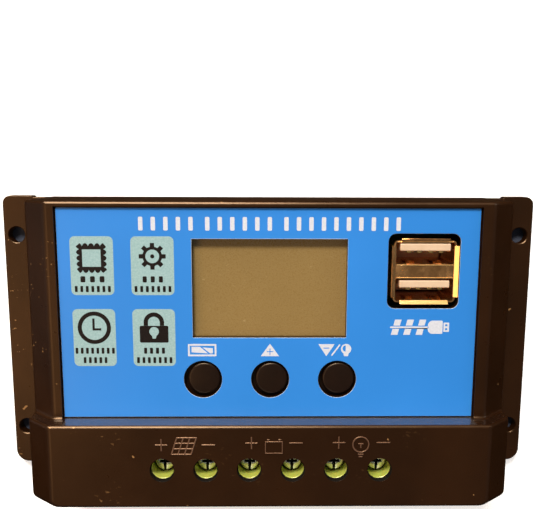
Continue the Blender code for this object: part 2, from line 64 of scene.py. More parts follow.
# Sizes read from the frame
PLATE_LOW, PLATE_HIGH = span("base_plate")
COVER_LOW, COVER_HIGH = span("front_cover")
LABEL_LOW, LABEL_HIGH = span("panel_label")
GLASS_LOW, GLASS_HIGH = span("lcd_glass")
USB_LOW, USB_HIGH = span("usb_shell")
CORE_LOW, CORE_HIGH = span("usb_insulator")
BLOCK_LOW, BLOCK_HIGH = span("terminal_block")
USB = centre("usb_shell")
BUTTONS = [centre(f"button_cap_{k}") for k in (1, 2, 3)]
POLES = [centre(f"terminal_screw_{k}") for k in range(1, 7)]
ROW_X = (POLES[0].x + POLES[-1].x) / 2
CASE_SCREWS = [centre(f"case_screw_{k}") for k in range(1, 5)]
SCREW_Y = POLES[0].y

# Sizes that the boxes don't give
PLATE_T = 3.0
EAR_START = 59.2
EAR_PROUD = 0.4
EAR_HOLE = (63.6, 25.2, 2.0)
CREST_HALF = 48.5
CHAMFER_H = 5.5
RIM_Z = 30.0
EMBOSS = 0.25
RIDGE_R = 0.16
FACE_Z = COVER_HIGH.z - EMBOSS
STEP_Y = LABEL_LOW.y - 0.12
TOP_LEAN = 0.17
END_TOP = -32.45
WALL = 2.0
POCKET_FLOOR = LABEL_LOW.z - 0.3
PANEL_UNDER = 27.2
FACE_UNDER = 33.25
EDGE_R = 0.7
WINDOW_LOW = Vector((-17.15, 4.95))
WINDOW_HIGH = Vector((16.85, 26.9))
HOLE_X = (-15.0, 0.0, 15.0)
HOLE_Y = -4.6
BUTTON_HOLE_R = 4.27
ACCESS_R = 2.52
MOUTH_R = 2.72
WELL_R = 2.6
USB_CUT_AT = (33.6, 19.85)
USB_CUT = (15.8, 16.6)
USB_CORNER = 1.7
LIP_RISE = 0.55
NOSE_Z = (12.4, 30.2)
NOSE_INSET = 0.9
SHOULDER_Y = -30.1
END_WINDOW_Z = (12.0, 30.6)
END_WINDOW_INSET = 0.5
BLOCK_HALF = (BLOCK_HIGH.x - BLOCK_LOW.x) / 2
INK = LABEL_HIGH.z
FILM_X = (LABEL_LOW.x - 0.27, LABEL_HIGH.x - 0.27)
FILM_Y = (LABEL_LOW.y + 0.12, LABEL_HIGH.y)
FILM_GAP = 0.3


# ---------------------------------------------------------------- shape tools


def from_bmesh(bm):
    """Turn a bmesh into an object, still in millimetres."""
    bmesh.ops.recalc_face_normals(bm, faces=bm.faces)
    mesh = bpy.data.meshes.new("shape")
    bm.to_mesh(mesh)
    bm.free()
    thing = bpy.data.objects.new("shape", mesh)
    bpy.context.collection.objects.link(thing)
    return thing


def box(x_span, y_span, z_span):
    """Box between two limits on each axis."""
    bm = bmesh.new()
    bmesh.ops.create_cube(bm, size=1.0)
    low = Vector((x_span[0], y_span[0], z_span[0]))
    high = Vector((x_span[1], y_span[1], z_span[1]))
    bmesh.ops.scale(bm, vec=high - low, verts=bm.verts)
    bmesh.ops.translate(bm, vec=(low + high) / 2, verts=bm.verts)
    return from_bmesh(bm)


def prism(outline, z_span):
    """Extrude a closed outline of (x, y) points between two heights."""
    bm = bmesh.new()
    base = bm.faces.new([bm.verts.new((x, y, z_span[0])) for x, y in outline])
    grown = bmesh.ops.extrude_face_region(bm, geom=[base])
    top = [item for item in grown["geom"] if isinstance(item, bmesh.types.BMVert)]
    bmesh.ops.translate(bm, vec=(0, 0, z_span[1] - z_span[0]), verts=top)
    return from_bmesh(bm)


def turned(profile, middle, segments=64):
    """Revolve (radius, z) points, listed from the axis at the base to the axis at the top."""
    bm = bmesh.new()
    rings = []
    for radius, z in profile:
        if radius == 0:
            rings.append([bm.verts.new((middle[0], middle[1], z))])
            continue
        angles = [2 * math.pi * k / segments for k in range(segments)]
        rings.append([bm.verts.new((middle[0] + radius * math.cos(a),
                                    middle[1] + radius * math.sin(a), z)) for a in angles])
    for low, high in zip(rings, rings[1:]):
        for k in range(segments):
            n = (k + 1) % segments
            corners = [low[k % len(low)], low[n % len(low)], high[n % len(high)], high[k % len(high)]]
            bm.faces.new(list(dict.fromkeys(corners)))
    return from_bmesh(bm)


def cylinder(middle, radius, z_span, segments=48):
    """Upright cylinder."""
    low, high = z_span
    return turned(((0, low), (radius, low), (radius, high), (0, high)), middle, segments)


def chamfered_hole(middle, radius, low, high, edge):
    """Cutter for a through hole with a small chamfer at both ends."""
    wide = radius + edge
    profile = ((0, low - 1), (wide, low - 1), (wide, low), (radius, low + edge),
               (radius, high - edge), (wide, high), (wide, high + 1), (0, high + 1))
    return turned(profile, middle, 56)


def lofted(sections):
    """Closed skin over sections that have the same number of points."""
    bm = bmesh.new()
    rings = [[bm.verts.new(point) for point in section] for section in sections]
    for near, far in zip(rings, rings[1:]):
        for k in range(len(near)):
            n = (k + 1) % len(near)
            loop = [near[k], near[n], far[n], far[k]]
            places = {tuple(round(value, 6) for value in vert.co) for vert in loop}
            if len(places) > 2:
                bm.faces.new(loop)
    bm.faces.new(rings[0])
    bm.faces.new(rings[-1])
    bmesh.ops.remove_doubles(bm, verts=bm.verts, dist=1e-5)
    return from_bmesh(bm)


def circle(x, y, radius, steps=48, start=0.0, sweep=360.0):
    """Points round a circle or an arc, angles in degrees."""
    count = steps if sweep == 360.0 else steps + 1
    angles = [math.radians(start + sweep * k / steps) for k in range(count)]
    return [(x + radius * math.cos(a), y + radius * math.sin(a)) for a in angles]


def rounded(x_span, y_span, radius, steps=8):
    """Outline of a rectangle with round corners; radius is one value or one for each corner."""
    radii = radius if isinstance(radius, tuple) else (radius,) * 4
    places = ((x_span[1], y_span[1], 1, 1), (x_span[0], y_span[1], -1, 1),
              (x_span[0], y_span[0], -1, -1), (x_span[1], y_span[0], 1, -1))
    outline = []
    for index, (x, y, sx, sy) in enumerate(places):
        r = radii[index]
        outline += circle(x - sx * r, y - sy * r, r, steps, 90.0 * index, 90.0)
    return outline


def combine(target, tool, operation="DIFFERENCE"):
    """Cut or join target with tool, and use tool up."""
    modifier = target.modifiers.new("combine", "BOOLEAN")
    modifier.operation = operation
    modifier.solver = "EXACT"
    modifier.object = tool
    bake(target)
    bpy.data.objects.remove(tool)
    return target


def bake(thing):
    """Apply all modifiers of an object."""
    graph = bpy.context.evaluated_depsgraph_get()
    result = bpy.data.meshes.new_from_object(thing.evaluated_get(graph))
    thing.modifiers.clear()
    thing.data = result
    return thing


def round_edges(thing, width, segments=4, angle=35.0):
    """Round every edge that is sharper than angle."""
    modifier = thing.modifiers.new("round", "BEVEL")
    modifier.width = width
    modifier.segments = segments
    modifier.limit_method = "ANGLE"
    modifier.angle_limit = math.radians(angle)
    modifier.miter_outer = "MITER_ARC"
    return bake(thing)


def joined(things):
    """One object out of several."""
    bm = bmesh.new()
    for thing in things:
        bm.from_mesh(thing.data)
        bpy.data.objects.remove(thing)
    return from_bmesh(bm)


def from_curve(lines, z, **settings):
    """Solid out of lines, each a list of (x, y) points and whether it closes, on one level."""
    curve = bpy.data.curves.new("line", "CURVE")
    for key, value in settings.items():
        setattr(curve, key, value)
    for points, closed in lines:
        spline = curve.splines.new("POLY")
        spline.points.add(len(points) - 1)
        for point, (x, y) in zip(spline.points, points):
            point.co = (x, y, 0, 1)
        spline.use_cyclic_u = closed
    drawn = bpy.data.objects.new("line", curve)
    bpy.context.collection.objects.link(drawn)
    graph = bpy.context.evaluated_depsgraph_get()
    mesh = bpy.data.meshes.new_from_object(drawn.evaluated_get(graph))
    bpy.data.objects.remove(drawn)
    bm = bmesh.new()
    bm.from_mesh(mesh)
    bmesh.ops.remove_doubles(bm, verts=bm.verts, dist=1e-4)
    bmesh.ops.translate(bm, vec=(0, 0, z), verts=bm.verts)
    return from_bmesh(bm)


def flat_ink(loops, low, high):
    """Thin solid over closed outlines, where an outline inside another is a hole."""
    lines = [(loop, True) for loop in loops]
    half = (high - low) / 2
    return from_curve(lines, low + half, dimensions="2D", fill_mode="BOTH", extrude=half)


def ridges(lines, radius, z):
    """Round raised lines through lists of points on one level."""
    return from_curve(lines, z, dimensions="3D", bevel_depth=radius, bevel_resolution=3, use_fill_caps=True)


def place(thing, name, body, slot, *materials, replaces=(), sharp=32.0):
    """Finish a piece: metres, materials, shading, and the body that it rides on."""
    thing.name = name
    thing.data.name = name
    thing.data.transform(Matrix.Scale(MM, 4))
    thing.data.materials.clear()
    for material in materials:
        thing.data.materials.append(material)
    thing.data.shade_smooth()
    thing.data.set_sharp_from_angle(angle=math.radians(sharp))
    weighted = thing.modifiers.new("even shading", "WEIGHTED_NORMAL")
    weighted.keep_sharp = True
    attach(thing, body)
    if replaces:
        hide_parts(*replaces)
    return thing


# ------------------------------------------------------------------ materials


class Finish:
    """A Principled material and short calls for the nodes that feed it."""

    def __init__(self, name, roughness=0.5, metallic=0.0, **sockets):
        self.material = bpy.data.materials.new(name)
        self.material.use_nodes = True
        self.tree = self.material.node_tree
        self.shader = self.tree.nodes["Principled BSDF"]
        self.shader.inputs["Roughness"].default_value = roughness
        self.shader.inputs["Metallic"].default_value = metallic
        for key, value in sockets.items():
            self.shader.inputs[key.replace("_", " ")].default_value = value
        self.where = self.tree.nodes.new("ShaderNodeTexCoord").outputs["Object"]

    def node(self, kind, inputs=None, **settings):
        made = self.tree.nodes.new(kind)
        for key, value in settings.items():
            setattr(made, key, value)
        for key, value in (inputs or {}).items():
            if isinstance(value, bpy.types.NodeSocket):
                self.tree.links.new(value, made.inputs[key])
            else:
                made.inputs[key].default_value = value
        return made

    def stretched(self, scale):
        """Object coordinates, scaled differently along each axis."""
        return self.node("ShaderNodeMapping", {"Vector": self.where, "Scale": scale}).outputs["Vector"]

    def noise(self, scale, detail=3.0, rough=0.5, where=None):
        inputs = {"Vector": where or self.where, "Scale": scale, "Detail": detail, "Roughness": rough}
        return self.node("ShaderNodeTexNoise", inputs).outputs["Fac"]

    def ramp(self, value, *stops):
        """Colour or grey ramp through (position, colour) stops."""
        made = self.node("ShaderNodeValToRGB", {"Fac": value})
        ramp = made.color_ramp
        while len(ramp.elements) < len(stops):
            ramp.elements.new(0.5)
        for element, (position, colour) in zip(ramp.elements, stops):
            element.position = position
            grey = isinstance(colour, (int, float))
            element.color = (colour, colour, colour, 1) if grey else (*colour, 1)
        return made.outputs["Color"]

    def math(self, operation, first, second):
        made = self.node("ShaderNodeMath", operation=operation)
        for socket, value in zip(made.inputs, (first, second)):
            if isinstance(value, bpy.types.NodeSocket):
                self.tree.links.new(value, socket)
            else:
                socket.default_value = value
        return made.outputs["Value"]

    def mix(self, amount, first, second):
        """Blend two colours."""
        made = self.node("ShaderNodeMix", data_type="RGBA")
        for key, value in (("Factor_Float", amount), ("A_Color", first), ("B_Color", second)):
            socket = next(item for item in made.inputs if item.identifier == key)
            if isinstance(value, bpy.types.NodeSocket):
                self.tree.links.new(value, socket)
            else:
                socket.default_value = value if isinstance(value, float) else (*value, 1)
        return next(item for item in made.outputs if item.identifier == "Result_Color")

    def set(self, socket, value):
        self.tree.links.new(value, self.shader.inputs[socket])

    def tones(self, value, dark, light):
        """Base colour that drifts between two tones."""
        self.set("Base Color", self.ramp(value, (0.3, dark), (0.7, light)))

    def gloss(self, value, low, high):
        """Roughness that drifts between two values."""
        self.set("Roughness", self.ramp(value, (0.3, low), (0.7, high)))

    def side(self):
        """X of the surface, in metres."""
        return self.node("ShaderNodeSeparateXYZ", {"Vector": self.where}).outputs["X"]

    def bump(self, height, distance, strength=1.0):
        made = self.node("ShaderNodeBump", {"Height": height, "Distance": distance, "Strength": strength})
        self.set("Normal", made.outputs["Normal"])


def case_plastic(name, dark, light, wear):
    """Black-brown moulded plastic: fine grain, uneven gloss, and rubbed flecks, most of them to the left."""
    finish = Finish(name, Specular_IOR_Level=0.34, Specular_Tint=(1.0, 0.70, 0.45, 1.0))
    base = finish.ramp(finish.noise(45.0), (0.35, dark), (0.65, light))
    long_noise = finish.noise(900.0, 2.0, 0.6, finish.stretched((1.0, 1.8, 1.0)))
    flecks = finish.ramp(long_noise, (0.66, 0.0), (0.69, 1.0))
    clusters = finish.ramp(finish.noise(110.0, 2.0), (0.57, 0.0), (0.63, 1.0))
    left = finish.ramp(finish.math("MULTIPLY", finish.side(), -14.0), (0.45, 0.06), (0.62, 1.0))
    flecks = finish.math("MULTIPLY", finish.math("MULTIPLY", flecks, clusters), left)
    stray = finish.ramp(finish.noise(520.0, 1.0), (0.785, 0.0), (0.80, 0.7))
    marks = finish.math("MULTIPLY", finish.math("MAXIMUM", flecks, stray), wear)
    finish.set("Base Color", finish.mix(marks, base, (0.40, 0.21, 0.08)))
    finish.gloss(finish.noise(220.0, 4.0, 0.6), 0.27, 0.34)
    finish.bump(finish.noise(3200.0, 2.0, 0.6), 0.00004, 0.35)
    return finish.material


def grained(name, dark, light, roughness=0.45, drift=(300.0,), grain=(2400.0,),
            relief=(0.00001, 0.3), **sockets):
    """Plain surface: two close tones and a fine grain in its relief."""
    finish = Finish(name, roughness, **sockets)
    finish.tones(finish.noise(*drift), dark, light)
    if relief:
        finish.bump(finish.noise(*grain), *relief)
    return finish.material


def satin(name, dark, light, gloss, drift, grain, relief, **sockets):
    """Surface whose fine grain shows in its gloss as well as in its relief."""
    finish = Finish(name, **sockets)
    finish.tones(finish.noise(*drift), dark, light)
    fine = finish.noise(*grain)
    finish.gloss(fine, *gloss)
    finish.bump(fine, *relief)
    return finish.material


def ink(name, dark, light):
    """Printed ink with a faint screen grain."""
    return grained(name, dark, light, 0.4, (2400.0, 2.0, 0.7), (3600.0,), (0.000004, 0.3),
                   Specular_IOR_Level=0.15)


def display_film():
    """Front polariser of the unpowered display: olive brown, glossy, with a little dust and a hairline."""
    finish = Finish("display_film", IOR=1.5)
    base = finish.ramp(finish.noise(40.0), (0.3, (0.212, 0.130, 0.033)), (0.7, (0.248, 0.152, 0.040)))
    speck = finish.ramp(finish.noise(1500.0, 1.0), (0.74, 0.0), (0.77, 0.5))
    grain = finish.ramp(finish.noise(5200.0, 1.0), (0.35, 0.0), (0.75, 0.30))
    hair = finish.noise(55.0, 0.0, 0.5, finish.stretched((2.5, 16.0, 1.0)))
    away = finish.math("ABSOLUTE", finish.math("SUBTRACT", hair, 0.705), 0.0)
    scratch = finish.ramp(away, (0.0, 0.35), (0.004, 0.0))
    dust = finish.math("MAXIMUM", finish.math("MAXIMUM", speck, grain), scratch)
    finish.set("Base Color", finish.mix(dust, base, (0.52, 0.40, 0.20)))
    fine = finish.noise(2500.0, 2.0)
    finish.gloss(fine, 0.24, 0.34)
    finish.bump(fine, 0.000006, 0.3)
    return finish.material


def metal(name, dark, light, roughness=(0.18, 0.34), drawn=(1.0, 1.0, 30.0)):
    """Plated metal with drawn streaks along one axis."""
    finish = Finish(name, metallic=1.0)
    streaks = finish.noise(420.0, 3.0, 0.6, finish.stretched(drawn))
    finish.tones(streaks, dark, light)
    finish.gloss(streaks, *roughness)
    finish.bump(streaks, 0.000006, 0.25)
    return finish.material


def step_wall():
    """Smooth wall of the step that mirrors the film, with a paler tone in front of it: painted reflection.
    """
    finish = Finish("step_wall", 0.25, Coat_Weight=0.8, Coat_Roughness=0.1)
    beside = finish.math("GREATER_THAN", finish.math("ABSOLUTE", finish.side(), 0.0), FILM_X[1] * MM)
    # Paler tone where the film stands in front: painted reflection; beyond the film's ends the plain case
    # colour.
    pale = finish.ramp(finish.noise(300.0), (0.3, (0.040, 0.029, 0.024)), (0.7, (0.054, 0.039, 0.033)))
    finish.set("Base Color", finish.mix(beside, pale, (0.016, 0.005, 0.0012)))
    return finish.material


def board_mask():
    """Green solder mask with the faint weave of the board."""
    finish = Finish("board_mask", 0.35)
    wave = {"Vector": finish.where, "Scale": 900.0, "Distortion": 0.5}
    weave = finish.node("ShaderNodeTexWave", wave).outputs["Fac"]
    finish.set("Base Color", finish.ramp(weave, (0.2, (0.012, 0.105, 0.035)), (0.8, (0.018, 0.150, 0.050))))
    finish.bump(weave, 0.00001, 0.2)
    return finish.material


def floor_paper():
    """White paper, with painted shade under the part: a dark blue patch that shows only through the ear
    holes.
    """
    finish = Finish("floor_paper", roughness=0.85)
    paper = finish.ramp(finish.noise(6.0), (0.3, (0.93, 0.93, 0.93)), (0.7, (0.97, 0.97, 0.97)))
    where = finish.node("ShaderNodeSeparateXYZ", {"Vector": finish.where}).outputs
    # Dark patch under the part's footprint, without the floor's glow: painted shade seen through the ear
    # holes.
    inside_x = finish.math("LESS_THAN", finish.math("ABSOLUTE", where["X"], 0), SHADE_PATCH_HALF[0])
    inside_y = finish.math("LESS_THAN", finish.math("ABSOLUTE", where["Y"], 0), SHADE_PATCH_HALF[1])
    shade_patch = finish.math("MULTIPLY", inside_x, inside_y)
    finish.set("Base Color", finish.mix(shade_patch, paper, (0.040, 0.050, 0.080)))
    finish.set("Emission Color", finish.mix(shade_patch, (1.0, 1.0, 1.0), (0.0, 0.0, 0.0)))
    finish.shader.inputs["Emission Strength"].default_value = 0.45
    return finish.material


# Half size of the painted-shade patch on the floor, in metres.
SHADE_PATCH_HALF = (0.0660, 0.0342)
CASE = case_plastic("case_plastic", (0.0150, 0.0046, 0.0010), (0.0225, 0.0072, 0.0017), 1.0)
# Much darker, duller copy of the case plastic for the screw-hole walls: painted shade in the holes.
BORE_SHADE = grained("case_bore_painted_shade", (0.003, 0.0014, 0.0006), (0.005, 0.0024, 0.001), 0.7, Specular_IOR_Level=0.1)
STEP_WALL = step_wall()
# Much lighter copy of the case plastic for the raised signs: painted highlight on the ridges, with the same
# flecks.
SIGN_HIGHLIGHT = case_plastic("sign_plastic_painted_highlight", (0.11, 0.056, 0.034), (0.165, 0.088, 0.055), 0.3)
BLUE = satin("panel_blue", (0.021, 0.222, 0.70), (0.027, 0.248, 0.78), (0.30, 0.40),
             (28.0, 2.0), (2600.0, 2.0, 0.7), (0.00001, 0.25), IOR=1.48)
FILM_EDGE = grained("film_edge", (0.42, 0.58, 0.80), (0.62, 0.74, 0.90), 0.5, (900.0,), relief=None)
WHITE_INK = ink("white_ink", (0.60, 0.64, 0.74), (0.70, 0.73, 0.82))
TEAL_INK = ink("teal_ink", (0.27, 0.44, 0.46), (0.36, 0.53, 0.55))
DARK_INK = ink("dark_ink", (0.006, 0.004, 0.004), (0.012, 0.008, 0.007))
DISPLAY = display_film()
PANE = grained("display_pane", (0.10, 0.12, 0.10), (0.14, 0.16, 0.13), 0.08, (60.0,), relief=None, IOR=1.52)
BUTTON = satin("button_plastic", (0.0062, 0.0020, 0.0009), (0.0098, 0.0033, 0.0015), (0.28, 0.40),
               (260.0,), (3800.0, 2.0, 0.7), (0.00003, 0.35),
               Specular_IOR_Level=0.3, Specular_Tint=(1.0, 0.8, 0.6, 1.0))
TERMINAL = grained("terminal_plastic", (0.56, 0.62, 0.10), (0.66, 0.71, 0.14), 0.36, (180.0,), (1800.0, 2.0),
                   (0.00001, 0.25), Subsurface_Weight=0.10, Subsurface_Scale=0.0008)
SOCKET = grained("socket_plastic", (0.66, 0.48, 0.32), (0.74, 0.55, 0.38), 0.38, (400.0,), (2600.0,),
                 (0.000006, 0.25))
SHEET = metal("socket_sheet", (0.52, 0.235, 0.075), (0.86, 0.44, 0.165), (0.16, 0.32))
# Brighter, glossier copy of the plated metal for the right and lower lips and the rolled edges: painted
# highlight.
LIP_HIGHLIGHT_METAL = metal("socket_lip", (0.66, 0.42, 0.16), (0.86, 0.58, 0.26), (0.14, 0.24))
GOLD = metal("contact_gold", (0.65, 0.42, 0.13), (0.82, 0.57, 0.22))
STEEL = metal("screw_steel", (0.60, 0.60, 0.53), (0.82, 0.82, 0.75), (0.16, 0.32), (1.0, 1.0, 8.0))
# Dark material for the screw heads' cross, slot and rim: painted shade.
SCREW_SHADE = grained("screw_recess_painted_shade", (0.010, 0.010, 0.007), (0.018, 0.018, 0.012), 0.5, Specular_IOR_Level=0.2)
BRASS = metal("cage_brass", (0.52, 0.40, 0.20), (0.70, 0.56, 0.30))
COPPER = metal("bar_copper", (0.55, 0.36, 0.24), (0.74, 0.52, 0.38))
BOARD = board_mask()
CHIP = grained("chip_black", (0.010, 0.010, 0.011), (0.020, 0.020, 0.021))
FERRITE = grained("ferrite_grey", (0.045, 0.043, 0.042), (0.075, 0.072, 0.070), 0.6)
WHITE = grained("natural_white", (0.68, 0.66, 0.60), (0.80, 0.78, 0.72), 0.4)
RIBBON = grained("amber_film", (0.36, 0.18, 0.04), (0.48, 0.25, 0.06), 0.35)
SLEEVE = grained("can_sleeve", (0.014, 0.018, 0.045), (0.024, 0.030, 0.070), 0.3)


# ----------------------------------------------------------------------- case


def case_section(half, crest, mark, shoulder, top, y_low, y_high, base):
    """Cross-section of the cover: walls, chamfers and flat top, leaning from y_low to y_high."""
    right = ((half, base), (half, mark), (half, shoulder), (crest, top))
    points = [*right, *((-x, z) for x, z in reversed(right))]
    lean = (y_high - y_low) / (FACE_Z - COVER_LOW.z)
    return [(x, y_low + lean * (z - base), z) for x, z in points]


def cover_solid(half, crests, shoulders, tops, y_top, y_step, y_end, base):
    """Low part and raised part of the cover in one skin."""
    low_crest, high_crest = crests
    low, high = shoulders
    low_z, high_z = tops
    return lofted([
        case_section(half, low_crest, low, low, low_z, y_top, y_top + TOP_LEAN, base),
        case_section(half, low_crest, low, low, low_z, y_step, y_step, base),
        case_section(half, high_crest, low, high, high_z, y_step, y_step, base),
        case_section(half, high_crest, low, high, high_z, *y_end, base),
    ])


def make_cover():
    """Front cover: rounded shell with panel pocket, windows, button holes and screw holes."""
    low = RIM_Z - CHAMFER_H
    high = FACE_Z - CHAMFER_H
    end = (COVER_LOW.y, END_TOP)
    cover = cover_solid(COVER_HIGH.x, (CREST_HALF,) * 2, (low, high), (RIM_Z, FACE_Z),
                        COVER_HIGH.y, STEP_Y, end, COVER_LOW.z)
    soften_end_corners(cover)
    round_edges(cover, EDGE_R, 6, 25.0)
    hollow = cover_solid(COVER_HIGH.x - WALL, (CREST_HALF + 0.3, CREST_HALF - 0.8), (low - 0.6, high - 0.6),
                         (PANEL_UNDER, FACE_UNDER), COVER_HIGH.y - WALL, STEP_Y - WALL,
                         (end[0] + WALL, end[1] + WALL), 0.0)
    combine(cover, hollow)
    pocket_x = (FILM_X[0] - FILM_GAP, FILM_X[1] + FILM_GAP)
    combine(cover, box(pocket_x, (STEP_Y, FILM_Y[1] + FILM_GAP), (POCKET_FLOOR, RIM_Z + 1)))
    through = (PANEL_UNDER - 2, RIM_Z + 1)
    combine(cover, box((WINDOW_LOW.x, WINDOW_HIGH.x), (WINDOW_LOW.y, WINDOW_HIGH.y), through))
    combine(cover, prism(usb_outline(), through))
    for x in HOLE_X:
        combine(cover, cylinder((x, HOLE_Y), BUTTON_HOLE_R, through, 64))
    ledge = FACE_Z - 0.55
    stepped = ((0, FACE_UNDER - 2), (ACCESS_R, FACE_UNDER - 2), (ACCESS_R, ledge),
               (MOUTH_R, ledge), (MOUTH_R, FACE_Z + 1), (0, FACE_Z + 1))
    for pole in POLES:
        combine(cover, turned(stepped, pole))
    half = BLOCK_HALF - END_WINDOW_INSET
    window_y = (COVER_LOW.y - 2, SHOULDER_Y - 0.2)
    combine(cover, box((ROW_X - half, ROW_X + half), window_y, END_WINDOW_Z))
    round_edges(cover, 0.14, 3, 40.0)
    place(cover, "case_front", "case", "case", CASE, BORE_SHADE, STEP_WALL, replaces=("front_cover",))
    paint_cover(cover)


def paint_cover(cover):
    """Painted shade on the screw-hole walls, and the glossier step face with its painted reflection."""
    for face in cover.data.polygons:
        middle = face.center / MM
        near = min(math.hypot(middle.x - pole.x, middle.y - pole.y) for pole in POLES)
        # Faces inside the screw holes get the painted shade.
        if near < MOUTH_R + 0.02 and middle.z < FACE_Z - 0.1:
            face.material_index = 1
        elif abs(middle.y - STEP_Y) < 0.02 and face.normal.y > 0.99:
            face.material_index = 2


def soften_end_corners(cover):
    """Wide rounding where the lower end wall meets the side walls and the side chamfers."""
    bm = bmesh.new()
    bm.from_mesh(cover.data)
    corners = []
    for edge in bm.edges:
        along = edge.verts[1].co - edge.verts[0].co
        at_end = all(vert.co.y < END_TOP + 0.5 for vert in edge.verts)
        at_side = all(abs(vert.co.x) > CREST_HALF - 0.5 for vert in edge.verts)
        if at_end and at_side and abs(along.z) > 1.0:
            corners.append(edge)
    bmesh.ops.bevel(bm, geom=corners, offset=1.6, segments=5, profile=0.5, affect="EDGES",
                    clamp_overlap=True)
    bm.to_mesh(cover.data)
    bm.free()


def usb_outline():
    """Outline of the socket's cut-out in cover and film."""
    x, y = USB_CUT_AT
    half = (USB_CUT[0] / 2, USB_CUT[1] / 2)
    return rounded((x - half[0], x + half[0]), (y - half[1], y + half[1]), USB_CORNER)


def make_back():
    """Back plate with its two ears, rounded all round, and the recesses of the case screws."""
    outline = rounded((PLATE_LOW.x, PLATE_HIGH.x), (PLATE_LOW.y, PLATE_HIGH.y), (2.0, 2.0, 3.2, 3.2), 10)
    plate = prism(outline, (0, PLATE_T))
    notch_y = (PLATE_HIGH.y - EAR_PROUD, PLATE_HIGH.y + 1)
    combine(plate, box((-EAR_START, EAR_START), notch_y, (-1, PLATE_T + 1)))
    round_edges(plate, 0.55, 4, 60.0)
    for x in (-EAR_HOLE[0], EAR_HOLE[0]):
        for y in (-EAR_HOLE[1], EAR_HOLE[1]):
            combine(plate, chamfered_hole((x, y), EAR_HOLE[2], 0, PLATE_T, 0.2))
    for screw in CASE_SCREWS:
        combine(plate, cylinder((screw.x, screw.y), 3.1, (-1, 2.2)))
    lip_low = (COVER_LOW.x + 2.4, COVER_LOW.y + 2.5)
    lip_high = (COVER_HIGH.x - 2.4, COVER_HIGH.y - 2.5)
    lip = box((lip_low[0], lip_high[0]), (lip_low[1], lip_high[1]), (PLATE_T - 0.5, 3.8))
    wall = 1.5
    inner_x = (lip_low[0] + wall, lip_high[0] - wall)
    inner_y = (lip_low[1] + wall, lip_high[1] - wall)
    combine(lip, box(inner_x, inner_y, (0, 5)))
    combine(plate, lip, "UNION")
    place(plate, "case_back", "case", "case", CASE, replaces=("base_plate",))


def make_signs():
    """Raised signs over the screws: plus and minus of each pair, panel, battery and lamp between."""
    z = FACE_Z + EMBOSS - RIDGE_R
    y = SCREW_Y + 6.4
    lines = []
    for pair, (drop, shift) in enumerate(((0.45, -0.05), (0.05, 0.5), (0.0, 0.45))):
        plus = POLES[2 * pair].x + shift
        minus = POLES[2 * pair + 1].x + 0.65
        level = y - drop
        lines.append(([(plus - 1.35, level), (plus + 1.35, level)], False))
        lines.append(([(plus, level - 1.35), (plus, level + 1.35)], False))
        lines.append(([(minus - 1.45, level), (minus + 1.45, level)], False))
    lines += panel_sign((POLES[0].x + POLES[1].x) / 2 + 0.12, y - 0.7)
    lines += battery_sign((POLES[2].x + POLES[3].x) / 2 + 0.6, y - 0.95)
    lines += lamp_sign((POLES[4].x + POLES[5].x) / 2 + 0.5, y - 0.65)
    signs = ridges(lines, RIDGE_R, z)
    # The signs take the lighter plastic: painted highlight.
    place(signs, "raised_signs", "case", "case", SIGN_HIGHLIGHT, sharp=60.0)


def panel_sign(x, y):
    """Leaning grid of three by three cells."""
    width, height, lean, cells = 4.3, 3.8, 1.2, 3
    lines = []
    for k in range(cells + 1):
        t = k / cells - 0.5
        middle = x + lean * t
        level = y + height * t
        lines.append(([(middle - width / 2, level), (middle + width / 2, level)], False))
        foot = x + width * t - lean / 2
        lines.append(([(foot, y - height / 2), (foot + lean, y + height / 2)], False))
    return lines


def battery_sign(x, y):
    """Box with two posts."""
    corners = [(x - 1.85, y - 1.45), (x + 1.85, y - 1.45), (x + 1.85, y + 1.2), (x - 1.85, y + 1.2)]
    lines = [(corners, True)]
    for side in (-1.25, 1.25):
        lines.append(([(x + side - 0.25, y + 1.65), (x + side + 0.25, y + 1.65)], False))
    return lines


def lamp_sign(x, y):
    """Round lamp over a short cap."""
    lines = [(circle(x, y + 0.2, 1.75, 40), True)]
    lines.append(([(x - 0.6, y - 2.05), (x + 0.6, y - 2.05)], False))
    lines.append(([(x - 0.4, y - 2.6), (x + 0.4, y - 2.6)], False))
    lines.append(([(x, y - 0.55), (x, y + 0.3)], False))
    lines.append(([(x - 0.55, y + 0.4), (x + 0.55, y + 0.4)], False))
    return lines


# ---------------------------------------------------------------- panel print


def make_film():
    """Blue film with its cut-outs; the cut edges show the white core."""
    film = box(FILM_X, FILM_Y, (LABEL_LOW.z, LABEL_HIGH.z))
    through = (LABEL_LOW.z - 1, LABEL_HIGH.z + 1)
    combine(film, box((WINDOW_LOW.x, WINDOW_HIGH.x), (WINDOW_LOW.y, WINDOW_HIGH.y), through))
    combine(film, prism(usb_outline(), through))
    for x in HOLE_X:
        combine(film, cylinder((x, HOLE_Y), BUTTON_HOLE_R, through, 64))
    round_edges(film, 0.14, 2, 50.0)
    place(film, "panel_film", "case", "panel_film", BLUE, FILM_EDGE, replaces=("panel_label",))
    for face in film.data.polygons:
        if face.normal.z < 0.9:
            face.material_index = 1


def bar(x, y, width, height, turn=0.0, round_ends=True):
    """Outline of a bar about its centre."""
    h = height / 2
    reach = width / 2
    if round_ends:
        points = circle(reach - h, 0, h, 8, -90.0, 180.0) + circle(h - reach, 0, h, 8, 90.0, 180.0)
    else:
        points = [(reach, -h), (reach, h), (-reach, h), (-reach, -h)]
    c = math.cos(math.radians(turn))
    s = math.sin(math.radians(turn))
    return [(x + px * c - py * s, y + px * s + py * c) for px, py in points]


